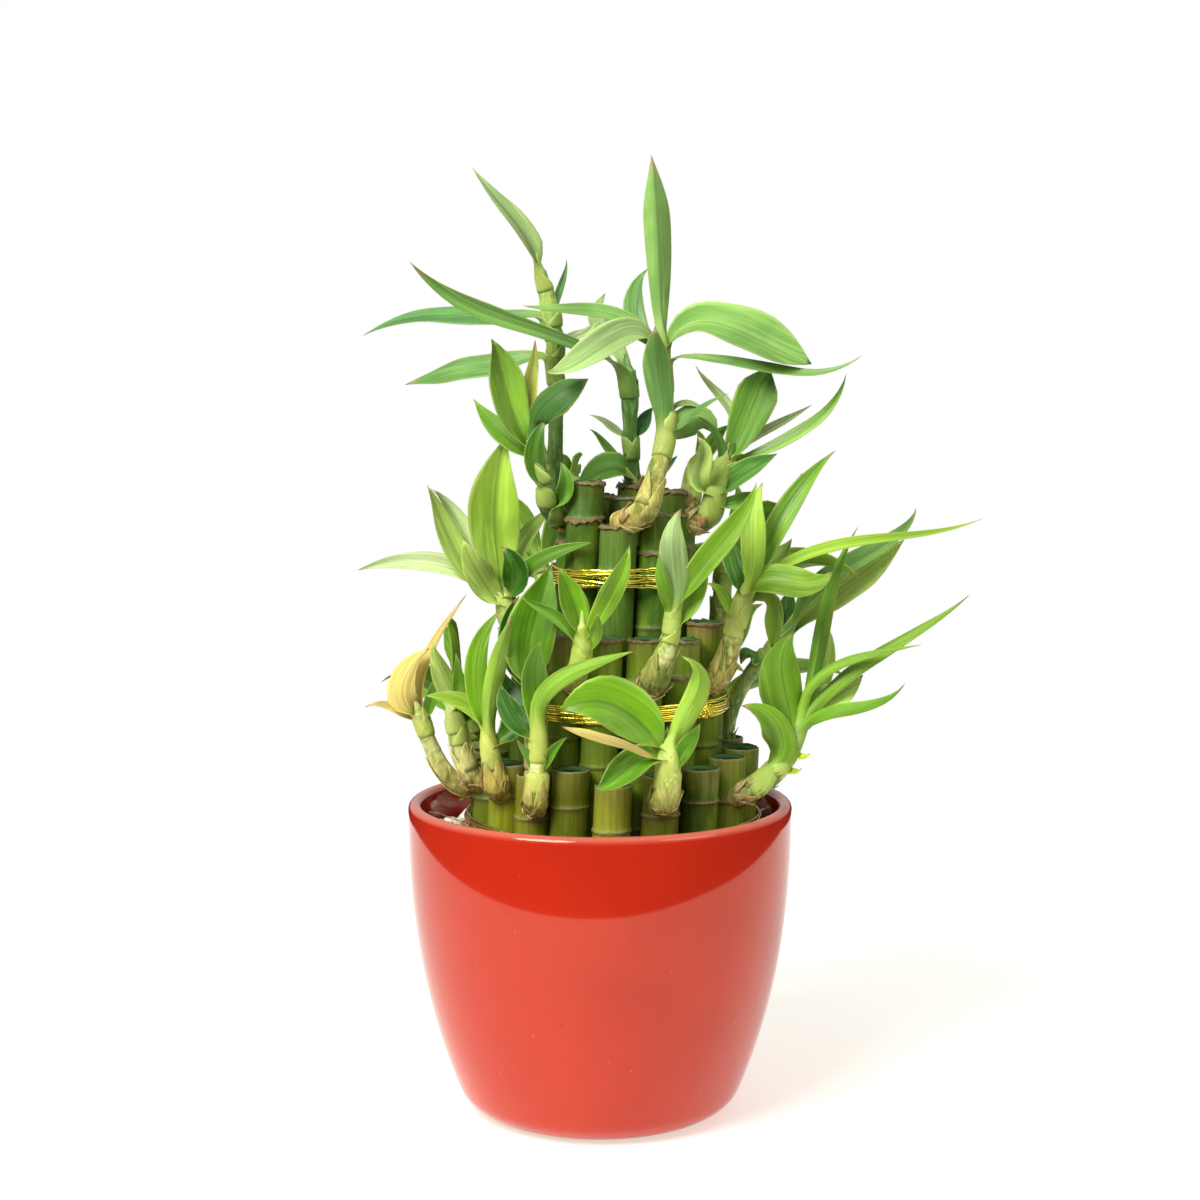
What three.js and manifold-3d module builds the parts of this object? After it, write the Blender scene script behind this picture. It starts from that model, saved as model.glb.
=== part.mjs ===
// Lucky bamboo in a glazed pot: three tiers of cut canes, leafy shoots, gold ties, pebbles.
// Millimetres, +Z up, origin at the centre of the pot's foot, front of the plant toward -Y.
import * as THREE from 'three';
import { mergeVertices } from 'three/examples/jsm/utils/BufferGeometryUtils.js';
import Module from 'manifold-3d';

const wasm = await Module();
wasm.setup();

// pot
const potHeight = 113.3;
const potRimRadius = 70;
const potBaseRadius = 48.6;
const potBellyPower = 2.37;
const potCornerRadius = 8;
const potWall = 5;
const potFloor = 7;
const potSides = 32;

// pebble bed
const fitGap = 0.35;
const bedTop = 102;
const wellFloor = 70;
const pebbleCount = 26;
const pebbleSize = 4.6;

// bundle of canes: each tier is a ring that leans a little to the right
const bundleX = 2;
const bundleFoot = 50;
const bundleLean = 0.046;
const caneRadius = 6.6;
const caneSides = 7;
const nodeSwell = 0.35;
const nodeHalfHeight = 1.6;
const cutRim = 1.3;
const cutDepth = 1.4;

const tiers = {
  inner: {
    ring: 18.6,
    angles: [-9, 36, 81, 126, 171, 216, 261, 306],
    tops: [215, 219, 218, 226, 228, 224, 223, 230],
  },
  middle: {
    ring: 32.2,
    angles: [15, 41, 67, 92, 118, 144, 170, 195, 221, 247, 272, 298, 324, 349],
    tops: [176, 175, 180, 178, 177, 179, 176, 178, 177, 176, 178, 175, 177, 176],
  },
  outer: {
    ring: 45.8,
    angles: [-1, 20, 40, 59, 78, 97, 116, 135, 154, 173, 192, 211, 230, 249, 268, 286, 304, 322, 340],
    tops: [127, 130, 131, 133, 134, 132, 133, 131, 134, 132, 133, 131, 132, 134, 131, 130, 131, 129, 132],
  },
};

// gold ties: wire wound into a band round each tier, twisted together once on the middle one
const tieBand = 6.4;
const tieThick = 1.3;
const tieSides = 24;
const tieHeights = { inner: 196.5, middle: 150, outer: 109.5 };
const knotSize = [4.4, 2.4, 3.6];
const knotAngle = 47;

// corners nearer than this become one
const weldLength = 0.02;

// leaves
const bladeThick = 0.8;
const bladeFold = 0.24;
const baseShare = 0.36;
const baseWidth = 4.8;
const narrowBlade = 12.5;
const baseSunk = 1.6;
const frontFace = [0, -0.8, 0.6];

// Shoots read from the photo. Stem rows are x, y, z, radius; a leaf row holds four points
// of its midrib from the stem to the tip, its width, where it is widest and its turn.
const shoots = {
  top_left: {
    cane: 'inner_7',
    stem: [
      [-9, 3, 215, 3.6],
      [-16, 2, 225, 3.6],
      [-16, 2, 248, 3.3],
      [-16, 0, 275, 3.9],
      [-18, -1, 291, 4.4],
      [-21, -2, 304, 2.6],
    ],
    leaves: [
      [[-21, -2, 303], [-27, -4, 317], [-35, -7, 327], [-45, -10, 340], 9.3, 0.36, 15],
      [[-18, -1, 289], [-15, 1, 297], [-13, 3, 303], [-12, 5, 309], 3.1, 0.4, 40],
      [[-17, -1, 285], [-37, 6, 287], [-58, 15, 289], [-88, 25, 282], 9.3, 0.42, 0],
      [[-16, 0, 271], [-36, 5, 271], [-54, 12, 268], [-72, 20, 264], 11.3, 0.5, 0],
      [[-16, 0, 278], [-12, 5, 280], [-7, 11, 282], [-1, 18, 288], 4.7, 0.5, 0],
    ],
  },
  left: {
    cane: 'inner_7',
    stem: [
      [-9, 3, 212, 4.2],
      [-18, -10, 220, 4.1],
      [-19, -13, 229, 4.2],
      [-22, -15, 239, 3.8],
      [-24, -15, 248, 2.2],
    ],
    leaves: [
      [[-22, -15, 239], [-29, -16, 249], [-33, -17, 263], [-38, -19, 280], 13.8, 0.6, 0],
      [[-24, -15, 247], [-25, -13, 257], [-24, -10, 267], [-23, -7, 280], 5.7, 0.5, 0],
      [[-23, -15, 244], [-21, -21, 255], [-14, -24, 261], [-4, -23, 266], 13.8, 0.62, 0],
      [[-21, -14, 237], [-33, -12, 245], [-39, -10, 251], [-45, -8, 259], 8.4, 0.45, 0],
      [[-19, -12, 227], [-23, -18, 237], [-22, -20, 245], [-19, -19, 252], 8.1, 0.5, 0],
      [[-18, -10, 220], [-13, -15, 224], [-12, -18, 230], [-14, -16, 237], 6.9, 0.45, 0],
    ],
  },
  back_middle: {
    cane: 'inner_5',
    stem: [
      [13, 18, 218, 3.8],
      [12, 17, 233, 3.2],
      [11, 16, 248, 3.2],
      [11, 15, 258, 4.2],
      [10, 14, 269, 4.2],
    ],
    leaves: [
      [[11, 15, 264], [-10, -4, 278], [-37, -26, 287], [-64, -47, 305], 9.1, 0.62, 10],
      [[10, 14, 266], [6, 18, 277], [1, 22, 284], [2, 28, 298], 8.7, 0.65, 0],
      [[11, 16, 244], [7, 17, 246], [2, 18, 250], [-4, 20, 253], 3.6, 0.4, 0],
      [[12, 17, 233], [5, 20, 238], [1, 19, 243], [-4, 14, 248], 3.6, 0.4, 0],
      [[12, 17, 228], [7, 14, 233], [0, 10, 232], [-8, 5, 227], 12.7, 0.45, 0],
      [[11, 16, 244], [15, 18, 248], [17, 20, 252], [20, 22, 256], 6, 0.4, 0],
      [[13, 18, 226], [20, 20, 230], [25, 23, 234], [29, 26, 238], 5.2, 0.4, 0],
    ],
  },
  right_main: {
    cane: 'inner_1',
    stem: [
      [7, -18, 215, 5.4],
      [15, -27, 220, 5.2],
      [19, -23, 231, 4.3],
      [23, -17, 245, 3.8],
      [23, -15, 259, 3.8],
      [21, -13, 278, 3.4],
    ],
    leaves: [
      [[21, -13, 276], [21, -12, 301], [20, -12, 323], [18, -11, 344], 10.3, 0.66, 0],
      [[21, -13, 275], [13, -7, 285], [12, -4, 295], [17, -5, 305], 8, 0.5, 0],
      [[23, -17, 245], [22, -20, 258], [20, -24, 271], [19, -29, 284], 10.7, 0.6, 0],
      [[22, -14, 272], [32, -15, 285], [54, -18, 280], [74, -20, 271], 18, 0.66, 5],
      [[22, -14, 269], [43, -17, 272], [66, -21, 268], [91, -26, 274], 5, 0.5, 0],
      [[21, -13, 276], [8, -12, 287], [-10, -17, 290], [-27, -27, 291], 6.5, 0.4, 0],
      [[21, -13, 275], [14, -17, 281], [0, -24, 276], [-19, -31, 268], 13.8, 0.5, 0],
      [[23, -17, 244], [32, -19, 253], [39, -23, 258], [45, -27, 261], 3, 0.4, 0],
      [[23, -16, 253], [28, -14, 257], [33, -12, 257], [37, -10, 255], 2.7, 0.5, 0],
      [[23, -18, 244], [28, -16, 249], [35, -13, 252], [41, -10, 244], 11.4, 0.5, 30],
    ],
  },
  upper_right: {
    cane: 'inner_3',
    stem: [
      [28, -3, 212, 5.2],
      [38, -7, 217, 5.2],
      [41, -9, 224, 4.2],
      [43, -9, 233, 4.2],
      [47, -9, 242, 3],
    ],
    leaves: [
      [[44, -9, 234], [50, -10, 246], [55, -11, 259], [60, -12, 270], 16.2, 0.74, 0],
      [[43, -9, 233], [61, -12, 242], [77, -16, 252], [86, -21, 268], 5, 0.5, 0],
      [[45, -9, 238], [55, -7, 245], [66, -5, 251], [76, -3, 257], 4.2, 0.45, 0],
      [[41, -9, 224], [48, -12, 230], [55, -17, 235], [62, -23, 240], 10, 0.45, 0],
      [[42, -9, 227], [44, -11, 237], [41, -15, 247], [34, -19, 253], 3.9, 0.4, 0],
      [[41, -9, 223], [35, -12, 230], [36, -16, 237], [34, -21, 246], 9.6, 0.5, 0],
      [[46, -9, 240], [46, -7, 256], [40, -5, 263], [34, -3, 271], 3.9, 0.45, 0],
      [[40, -8, 221], [46, -9, 221], [52, -10, 223], [57, -12, 227], 6.9, 0.45, 0],
    ],
  },
  left_cluster: {
    cane: 'middle_11',
    stem: [
      [-25, -1, 165, 4.2],
      [-30, -8, 173, 4.2],
      [-33, -10, 183, 4.4],
      [-34, -10, 192, 3],
    ],
    leaves: [
      [[-34, -10, 190], [-37, -9, 206], [-37, -9, 227], [-33, -8, 246], 19.2, 0.5, 0],
      [[-33, -10, 188], [-47, -8, 197], [-55, -11, 212], [-61, -18, 229], 10, 0.45, 0],
      [[-34, -10, 190], [-45, 0, 202], [-53, 3, 217], [-61, -2, 227], 8.5, 0.5, 0],
      [[-33, -10, 185], [-53, -7, 198], [-70, -3, 200], [-88, 2, 197], 8.8, 0.5, 0],
      [[-33, -10, 184], [-39, -13, 190], [-44, -18, 199], [-48, -23, 210], 11.2, 0.5, 0],
      [[-34, -10, 188], [-30, -16, 195], [-31, -18, 202], [-35, -17, 207], 10, 0.5, 0],
      [[-34, -10, 189], [-30, -6, 203], [-25, -2, 211], [-17, 4, 221], 7.7, 0.45, 0],
      [[-33, -10, 183], [-28, -13, 196], [-17, -17, 204], [-2, -22, 209], 6.5, 0.45, 0],
    ],
  },
  middle_front: {
    cane: 'middle_13',
    stem: [
      [-12, -26, 158, 4.4],
      [-8, -41, 165, 4.2],
      [-6, -43, 173, 3.8],
      [-6, -43, 181, 2.6],
    ],
    leaves: [
      [[-6, -43, 173], [-12, -44, 182], [-19, -45, 187], [-27, -47, 192], 4.8, 0.45, 0],
      [[-6, -43, 177], [-8, -43, 186], [-11, -44, 194], [-14, -45, 202], 9.9, 0.5, 0],
      [[-6, -43, 175], [1, -44, 187], [6, -47, 197], [10, -49, 210], 8.5, 0.55, 0],
      [[-6, -43, 172], [-2, -45, 177], [-1, -48, 182], [-1, -51, 187], 5.1, 0.5, 0],
    ],
  },
  left_big: {
    cane: 'outer_18',
    stem: [
      [-23, -36, 125, 4.6],
      [-22, -40, 137, 4.2],
      [-22, -40, 150, 4],
      [-22, -39, 158, 3],
    ],
    leaves: [
      [[-22, -39, 156], [-25, -38, 171], [-22, -37, 186], [-17, -35, 202], 18.5, 0.48, 0],
      [[-22, -40, 151], [-31, -34, 155], [-34, -32, 160], [-34, -34, 167], 8.9, 0.5, 0],
      [[-22, -39, 156], [-29, -33, 169], [-31, -30, 179], [-28, -31, 191], 11.1, 0.5, 0],
    ],
  },
  middle_bulb: {
    cane: 'middle_1',
    stem: [
      [15, -31, 158, 5.4],
      [18, -39, 161, 6],
      [21, -43, 169, 5],
      [24, -43, 178, 3.5],
      [25, -43, 188, 3],
    ],
    leaves: [
      [[25, -43, 186], [26, -46, 198], [25, -45, 209], [28, -39, 222], 10.3, 0.5, 0],
      [[25, -43, 184], [23, -48, 192], [21, -50, 199], [20, -48, 207], 5.5, 0.5, 0],
      [[25, -43, 185], [35, -44, 202], [45, -46, 215], [53, -48, 231], 9.6, 0.5, 0],
      [[24, -43, 180], [31, -41, 190], [34, -39, 201], [36, -37, 209], 8.8, 0.5, 0],
    ],
  },
  middle_right: {
    cane: 'middle_3',
    stem: [
      [36, -13, 156, 5],
      [41, -21, 161, 5.3],
      [45, -24, 169, 4.4],
      [48, -25, 181, 4.2],
      [51, -25, 192, 3.2],
    ],
    leaves: [
      [[51, -25, 190], [53, -32, 205], [53, -32, 217], [57, -23, 230], 9, 0.5, 0],
      [[50, -25, 189], [60, -31, 196], [71, -34, 195], [81, -33, 200], 12.4, 0.5, 0],
      [[50, -25, 189], [60, -23, 210], [69, -20, 225], [83, -17, 241], 9, 0.5, 0],
      [[51, -25, 190], [60, -13, 208], [65, -9, 219], [72, -11, 233], 6.8, 0.5, 0],
      [[48, -25, 181], [44, -26, 189], [41, -27, 193], [37, -29, 195], 4.5, 0.45, 0],
      [[50, -25, 189], [58, -16, 198], [64, -9, 203], [69, -5, 209], 9.8, 0.5, 0],
      [[50, -25, 188], [72, -22, 204], [102, -19, 210], [136, -15, 217], 4.9, 0.35, 0],
      [[50, -25, 189], [47, -27, 200], [45, -24, 206], [42, -17, 213], 7.5, 0.5, 0],
      [[50, -25, 187], [58, -23, 189], [61, -20, 182], [61, -17, 171], 7.9, 0.5, 0],
    ],
  },
  right_back: {
    cane: 'outer_7',
    stem: [
      [46, 20, 122, 4.4],
      [46, 20, 132, 4.2],
      [50, 20, 146, 3.8],
      [56, 18, 157, 3.6],
      [63, 17, 166, 3.4],
      [69, 16, 173, 3],
    ],
    leaves: [
      [[69, 16, 173], [84, 17, 185], [99, 18, 196], [113, 20, 207], 14.3, 0.55, 0],
      [[69, 16, 173], [92, 12, 198], [108, 18, 207], [119, 32, 218], 8.8, 0.4, 0],
      [[67, 16, 171], [69, 19, 176], [70, 23, 182], [73, 28, 187], 7.2, 0.5, 0],
      [[62, 17, 165], [59, 16, 165], [56, 15, 166], [52, 13, 161], 12, 0.5, 30],
    ],
  },
  right_front: {
    cane: 'outer_4',
    stem: [
      [44, -24, 118, 5.2],
      [51, -29, 121, 4.8],
      [59, -27, 126, 4.4],
      [66, -23, 133, 4],
      [71, -20, 143, 3],
    ],
    leaves: [
      [[68, -22, 137], [67, -23, 149], [64, -25, 163], [68, -27, 178], 17.4, 0.5, 0],
      [[59, -27, 126], [64, -29, 140], [58, -32, 150], [49, -36, 153], 12.4, 0.5, 0],
      [[70, -21, 141], [85, -22, 160], [107, -23, 175], [130, -25, 191], 5.7, 0.4, 0],
      [[70, -21, 141], [82, -24, 165], [98, -28, 171], [112, -33, 174], 4.2, 0.4, 0],
      [[70, -20, 142], [77, -18, 167], [82, -15, 191], [92, -12, 214], 6.1, 0.45, 0],
      [[70, -20, 142], [78, -10, 154], [82, -7, 167], [80, -11, 180], 7.2, 0.5, 0],
      [[69, -21, 140], [79, -27, 149], [92, -30, 152], [107, -29, 160], 5.3, 0.4, 0],
      [[70, -20, 142], [79, -18, 150], [87, -16, 155], [94, -14, 161], 11.4, 0.5, 0],
      [[67, -22, 136], [70, -23, 133], [72, -26, 133], [74, -28, 135], 3.4, 0.4, 0],
      [[64, -24, 131], [67, -25, 128], [69, -28, 128], [71, -30, 130], 3.4, 0.4, 0],
    ],
  },
  dry_left: {
    cane: 'outer_15',
    stem: [
      [-41, 2, 119, 5],
      [-50, -5, 119, 4.2],
      [-56, -8, 125, 3.9],
      [-61, -8, 134, 3.7],
      [-65, -8, 146, 3.4],
    ],
    leaves: [
      [[-65, -8, 145], [-71, -8, 152], [-69, -9, 161], [-61, -10, 170], 11.6, 0.36, 0],
      [[-64, -8, 144], [-65, -7, 157], [-60, -5, 171], [-48, -3, 189], 3.9, 0.35, 0],
      [[-64, -8, 143], [-71, -7, 146], [-78, -7, 149], [-85, -6, 148], 3.9, 0.4, 0],
      [[-64, -8, 142], [-61, -9, 150], [-59, -11, 156], [-57, -13, 163], 5, 0.4, 0],
    ],
  },
  left_second: {
    cane: 'outer_16',
    stem: [
      [-39, -13, 120, 4.8],
      [-45, -18, 124, 4.2],
      [-49, -19, 133, 4],
      [-51, -19, 142, 4.4],
      [-53, -18, 149, 3.2],
    ],
    leaves: [
      [[-52, -18, 147], [-53, -19, 155], [-56, -21, 163], [-59, -23, 174], 9.1, 0.36, 0],
      [[-52, -18, 147], [-50, -23, 157], [-50, -24, 165], [-51, -22, 170], 4.6, 0.45, 0],
      [[-52, -18, 147], [-48, -16, 152], [-46, -19, 159], [-46, -26, 167], 7.6, 0.5, 0],
      [[-51, -19, 142], [-46, -16, 146], [-44, -13, 155], [-45, -9, 164], 8.4, 0.5, 0],
    ],
  },
  left_third: {
    cane: 'outer_17',
    stem: [
      [-33, -26, 120, 5.2],
      [-36, -33, 124, 5],
      [-38, -34, 134, 3.8],
      [-39, -33, 142, 2.8],
    ],
    leaves: [
      [[-39, -33, 140], [-43, -29, 150], [-51, -29, 154], [-61, -33, 156], 7.5, 0.45, 0],
      [[-39, -33, 141], [-43, -32, 157], [-42, -31, 173], [-34, -29, 186], 8.2, 0.5, 0],
      [[-39, -33, 142], [-38, -37, 155], [-35, -42, 170], [-30, -48, 186], 7.1, 0.5, 0],
      [[-38, -34, 137], [-31, -32, 144], [-29, -30, 154], [-31, -28, 164], 9.7, 0.5, 0],
    ],
  },
  front_left: {
    cane: 'outer_18',
    stem: [
      [-23, -36, 118, 5],
      [-22, -50, 123, 4.8],
      [-21, -50, 135, 4],
      [-21, -49, 147, 3],
    ],
    leaves: [
      [[-21, -49, 144], [-20, -51, 159], [-5, -55, 170], [12, -59, 175], 7.7, 0.4, 0],
      [[-21, -49, 145], [-22, -46, 156], [-22, -48, 167], [-20, -54, 178], 9.8, 0.5, 0],
      [[-21, -50, 131], [-24, -51, 137], [-26, -52, 140], [-28, -54, 144], 4, 0.4, 0],
      [[-21, -50, 131], [-17, -51, 138], [-14, -52, 142], [-11, -54, 145], 4, 0.4, 0],
      [[-21, -49, 142], [-27, -47, 147], [-32, -45, 154], [-34, -43, 162], 8.7, 0.5, 0],
    ],
  },
  front_right: {
    cane: 'outer_2',
    stem: [
      [21, -43, 119, 6.4],
      [22, -52, 124, 6],
      [23, -53, 132, 5],
      [23, -50, 141, 3.6],
    ],
    leaves: [
      [[23, -51, 137], [13, -52, 150], [1, -55, 157], [-14, -57, 154], 19.6, 0.56, -8],
      [[23, -51, 139], [29, -52, 152], [34, -53, 166], [27, -55, 173], 8.4, 0.5, 0],
      [[23, -52, 135], [16, -55, 138], [8, -59, 134], [-2, -64, 129], 11.6, 0.5, -15],
      [[23, -53, 132], [28, -53, 139], [31, -54, 144], [34, -55, 150], 6.2, 0.5, 0],
      [[23, -53, 133], [11, -61, 142], [-2, -67, 147], [-13, -69, 151], 4.3, 0.72, 0],
    ],
  },
};

// Shoots at the back, grown by a rule: cane, seed of its draw and how large it grew.
const backShoots = [
  ['inner_6', 227, 0.4],
  ['inner_4', 40, 0.45],
  ['middle_5', 1, 1],
  ['middle_7', 1, 1],
  ['middle_9', 10, 1],
  ['outer_8', 3, 1],
  ['outer_10', 1, 1],
  ['outer_11', 39, 1],
  ['outer_14', 362, 1],
];

const rad = THREE.MathUtils.degToRad;
const vec = (p) => new THREE.Vector3(p[0], p[1], p[2]);

// ---------- solids ----------

function toManifold(geometry, weld = 1e-4) {
  const plain = geometry.index ? geometry.toNonIndexed() : geometry.clone();
  plain.deleteAttribute('normal');
  plain.deleteAttribute('uv');
  const merged = mergeVertices(plain, weld);
  return new wasm.Manifold(new wasm.Mesh({
    numProp: 3,
    vertProperties: new Float32Array(merged.attributes.position.array),
    triVerts: new Uint32Array(merged.index.array),
  }));
}

function solidFrom(points, faces) {
  const geometry = new THREE.BufferGeometry();
  const flat = [];
  for (const face of faces) {
    for (const i of face) {
      flat.push(points[i].x, points[i].y, points[i].z);
    }
  }
  geometry.setAttribute('position', new THREE.Float32BufferAttribute(flat, 3));
  return toManifold(geometry);
}

// closed skin over rings that all hold the same number of points
function ringSolid(rings) {
  const sides = rings[0].length;
  const points = rings.flat();
  const faces = [];
  for (let k = 0; k + 1 < rings.length; k += 1) {
    for (let i = 0; i < sides; i += 1) {
      const j = (i + 1) % sides;
      const a = k * sides;
      const b = a + sides;
      faces.push([a + i, a + j, b + j], [a + i, b + j, b + i]);
    }
  }
  const last = (rings.length - 1) * sides;
  for (let i = 1; i + 1 < sides; i += 1) {
    faces.push([0, i + 1, i], [last, last + i, last + i + 1]);
  }
  return solidFrom(points, faces);
}

function flatRing(x, y, z, radius, sides, phase = 0) {
  const ring = [];
  for (let i = 0; i < sides; i += 1) {
    const a = phase + (2 * Math.PI * i) / sides;
    ring.push(new THREE.Vector3(x + radius * Math.cos(a), y + radius * Math.sin(a), z));
  }
  return ring;
}

function fuse(solids) {
  let all = solids[0];
  for (const solid of solids.slice(1)) {
    all = all.add(solid);
  }
  return all;
}

// one sound body: near-equal corners joined, sealed hollows filled, loose scraps dropped
function oneBody(solid) {
  let body = solid;
  for (let pass = 0; pass < 2; pass += 1) {
    const mesh = body.getMesh();
    const geometry = new THREE.BufferGeometry();
    geometry.setAttribute('position', new THREE.BufferAttribute(new Float32Array(mesh.vertProperties), 3));
    geometry.setIndex(new THREE.BufferAttribute(new Uint32Array(mesh.triVerts), 1));
    const pieces = toManifold(geometry, weldLength).decompose();
    pieces.sort((a, b) => b.volume() - a.volume());
    body = pieces[0];
  }
  return body;
}

// ---------- draws ----------

function drawer(seed) {
  let state = seed * 7919 + 17;
  const next = () => {
    state = (state * 16807) % 2147483647;
    return state / 2147483647;
  };
  next();
  next();
  return next;
}

// ---------- canes ----------

function bundleAt(z) {
  return bundleX + bundleLean * (z - bundleFoot);
}

function caneSpot(name) {
  const [tier, number] = name.split('_');
  if (tier === 'core') {
    return { ring: 0, angle: 0, top: 224, seed: 91 };
  }
  const k = Number(number) - 1;
  const seeds = { inner: 11, middle: 31, outer: 61 };
  return {
    ring: tiers[tier].ring,
    angle: rad(tiers[tier].angles[k]),
    top: tiers[tier].tops[k],
    seed: seeds[tier] + k,
  };
}

function caneAxis(spot, z) {
  return new THREE.Vector3(
    bundleAt(z) + spot.ring * Math.sin(spot.angle),
    -spot.ring * Math.cos(spot.angle),
    z,
  );
}

function caneSolid(spot) {
  const draw = drawer(spot.seed);
  const node = spot.top - 11 - 6 * draw();
  const phase = draw();
  const steps = [
    [wellFloor + fitGap, caneRadius],
    [node - nodeHalfHeight, caneRadius],
    [node, caneRadius + nodeSwell],
    [spot.top, caneRadius],
    [spot.top - cutDepth, caneRadius - cutRim],
  ];
  const rings = steps.map(([z, r]) => {
    const p = caneAxis(spot, z);
    return flatRing(p.x, p.y, p.z, r, caneSides, phase);
  });
  return ringSolid(rings);
}

// ---------- shoots ----------

function stemSolid(rows) {
  const points = rows.map(vec);
  const sides = 6;
  const rings = [];
  let side = new THREE.Vector3(1, 0, 0);
  points.forEach((p, k) => {
    const ahead = points[Math.min(k + 1, points.length - 1)];
    const behind = points[Math.max(k - 1, 0)];
    const along = ahead.clone().sub(behind).normalize();
    side = side.addScaledVector(along, -side.dot(along)).normalize();
    const other = along.clone().cross(side);
    const ring = [];
    for (let i = 0; i < sides; i += 1) {
      const a = (2 * Math.PI * i) / sides;
      ring.push(p.clone()
        .addScaledVector(side, rows[k][3] * Math.cos(a))
        .addScaledVector(other, rows[k][3] * Math.sin(a)));
    }
    rings.push(ring);
    side = side.clone();
  });
  return ringSolid(rings);
}

// smooth line through four points, spaced by the length between them
function midrib(points) {
  const at = [0];
  for (let i = 1; i < 4; i += 1) {
    at.push(at[i - 1] + points[i].distanceTo(points[i - 1]));
  }
  const span = at[3];
  return (t) => {
    const s = t * span;
    const p = new THREE.Vector3();
    for (let i = 0; i < 4; i += 1) {
      let weight = 1;
      for (let j = 0; j < 4; j += 1) {
        if (j !== i) {
          weight *= (s - at[j]) / (at[i] - at[j]);
        }
      }
      p.addScaledVector(points[i], weight);
    }
    return p;
  };
}

// where a blade starts: just under the skin of its stem, on the side it heads for
function leafFoot(rows, base, next) {
  let best = null;
  for (let k = 0; k + 1 < rows.length; k += 1) {
    const from = vec(rows[k]);
    const to = vec(rows[k + 1]);
    const length = from.distanceTo(to);
    const along = to.clone().sub(from).divideScalar(length);
    const last = k + 2 === rows.length;
    const most = last ? length - baseSunk : length;
    const s = Math.min(Math.max(base.clone().sub(from).dot(along), 0), most);
    const p = from.addScaledVector(along, s);
    const away = p.distanceTo(base);
    if (!best || away < best.away) {
      const radius = rows[k][3] + (rows[k + 1][3] - rows[k][3]) * (s / length);
      best = { p, along, radius, away };
    }
  }
  const aim = next.clone().sub(best.p).normalize();
  aim.addScaledVector(best.along, -aim.dot(best.along));
  return best.p.clone().addScaledVector(aim, Math.max(0, best.radius - baseSunk));
}

function bladeWidth(t, peak, width) {
  if (t < peak) {
    const share = Math.min(baseShare, baseWidth / width);
    return share + (1 - share) * Math.sin((Math.PI / 2) * (t / peak)) ** (2 * peak);
  }
  return Math.cos((Math.PI / 2) * ((t - peak) / (1 - peak))) ** 0.85;
}

function leafSolid(row, face, stem) {
  const [base, p1, p2, tip, width, peak, turn] = row;
  const foot = leafFoot(stem, vec(base), vec(p1));
  const line = midrib([foot, vec(p1), vec(p2), vec(tip)]);
  const past = 1 - peak;
  const stations = width > narrowBlade
    ? [0, peak * 0.55, peak + 0.06, peak + past * 0.6, 1]
    : [0, peak * 0.9, peak + past * 0.5, 1];
  const points = [];
  const step = 0.01;
  for (const t of stations) {
    const p = line(t);
    const along = line(Math.min(1, t + step)).sub(line(Math.max(0, t - step))).normalize();
    const up = vec(face);
    up.addScaledVector(along, -up.dot(along)).normalize();
    up.applyAxisAngle(along, rad(turn));
    const side = up.clone().cross(along);
    const half = (width / 2) * bladeWidth(t, peak, width);
    const lift = up.clone().multiplyScalar(bladeThick / 2);
    if (t === 1) {
      points.push(p.clone().add(lift), p.clone().sub(lift));
      break;
    }
    const left = p.clone().addScaledVector(side, -half).addScaledVector(up, bladeFold * half);
    const right = p.clone().addScaledVector(side, half).addScaledVector(up, bladeFold * half);
    for (const q of [left, p, right]) {
      points.push(q.clone().add(lift));
    }
    for (const q of [right, p, left]) {
      points.push(q.clone().sub(lift));
    }
  }
  const faces = [[0, 1, 4], [0, 4, 5], [1, 2, 3], [1, 3, 4]];
  const rows = stations.length - 1;
  for (let k = 0; k + 1 < rows; k += 1) {
    const a = k * 6;
    const b = a + 6;
    faces.push([a, b, b + 1], [a, b + 1, a + 1]);
    faces.push([a + 1, b + 1, b + 2], [a + 1, b + 2, a + 2]);
    faces.push([a + 2, b + 2, b + 3], [a + 2, b + 3, a + 3]);
    faces.push([a + 5, a + 4, b + 4], [a + 5, b + 4, b + 5]);
    faces.push([a + 4, a + 3, b + 3], [a + 4, b + 3, b + 4]);
    faces.push([a + 5, b + 5, b], [a + 5, b, a]);
  }
  const a = (rows - 1) * 6;
  const top = rows * 6;
  const low = top + 1;
  faces.push([a, top, a + 1], [a + 1, top, a + 2]);
  faces.push([a + 2, top, low], [a + 2, low, a + 3]);
  faces.push([a + 5, a + 4, low], [a + 4, a + 3, low]);
  faces.push([a + 5, low, top], [a + 5, top, a]);
  return solidFrom(points, faces);
}

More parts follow.
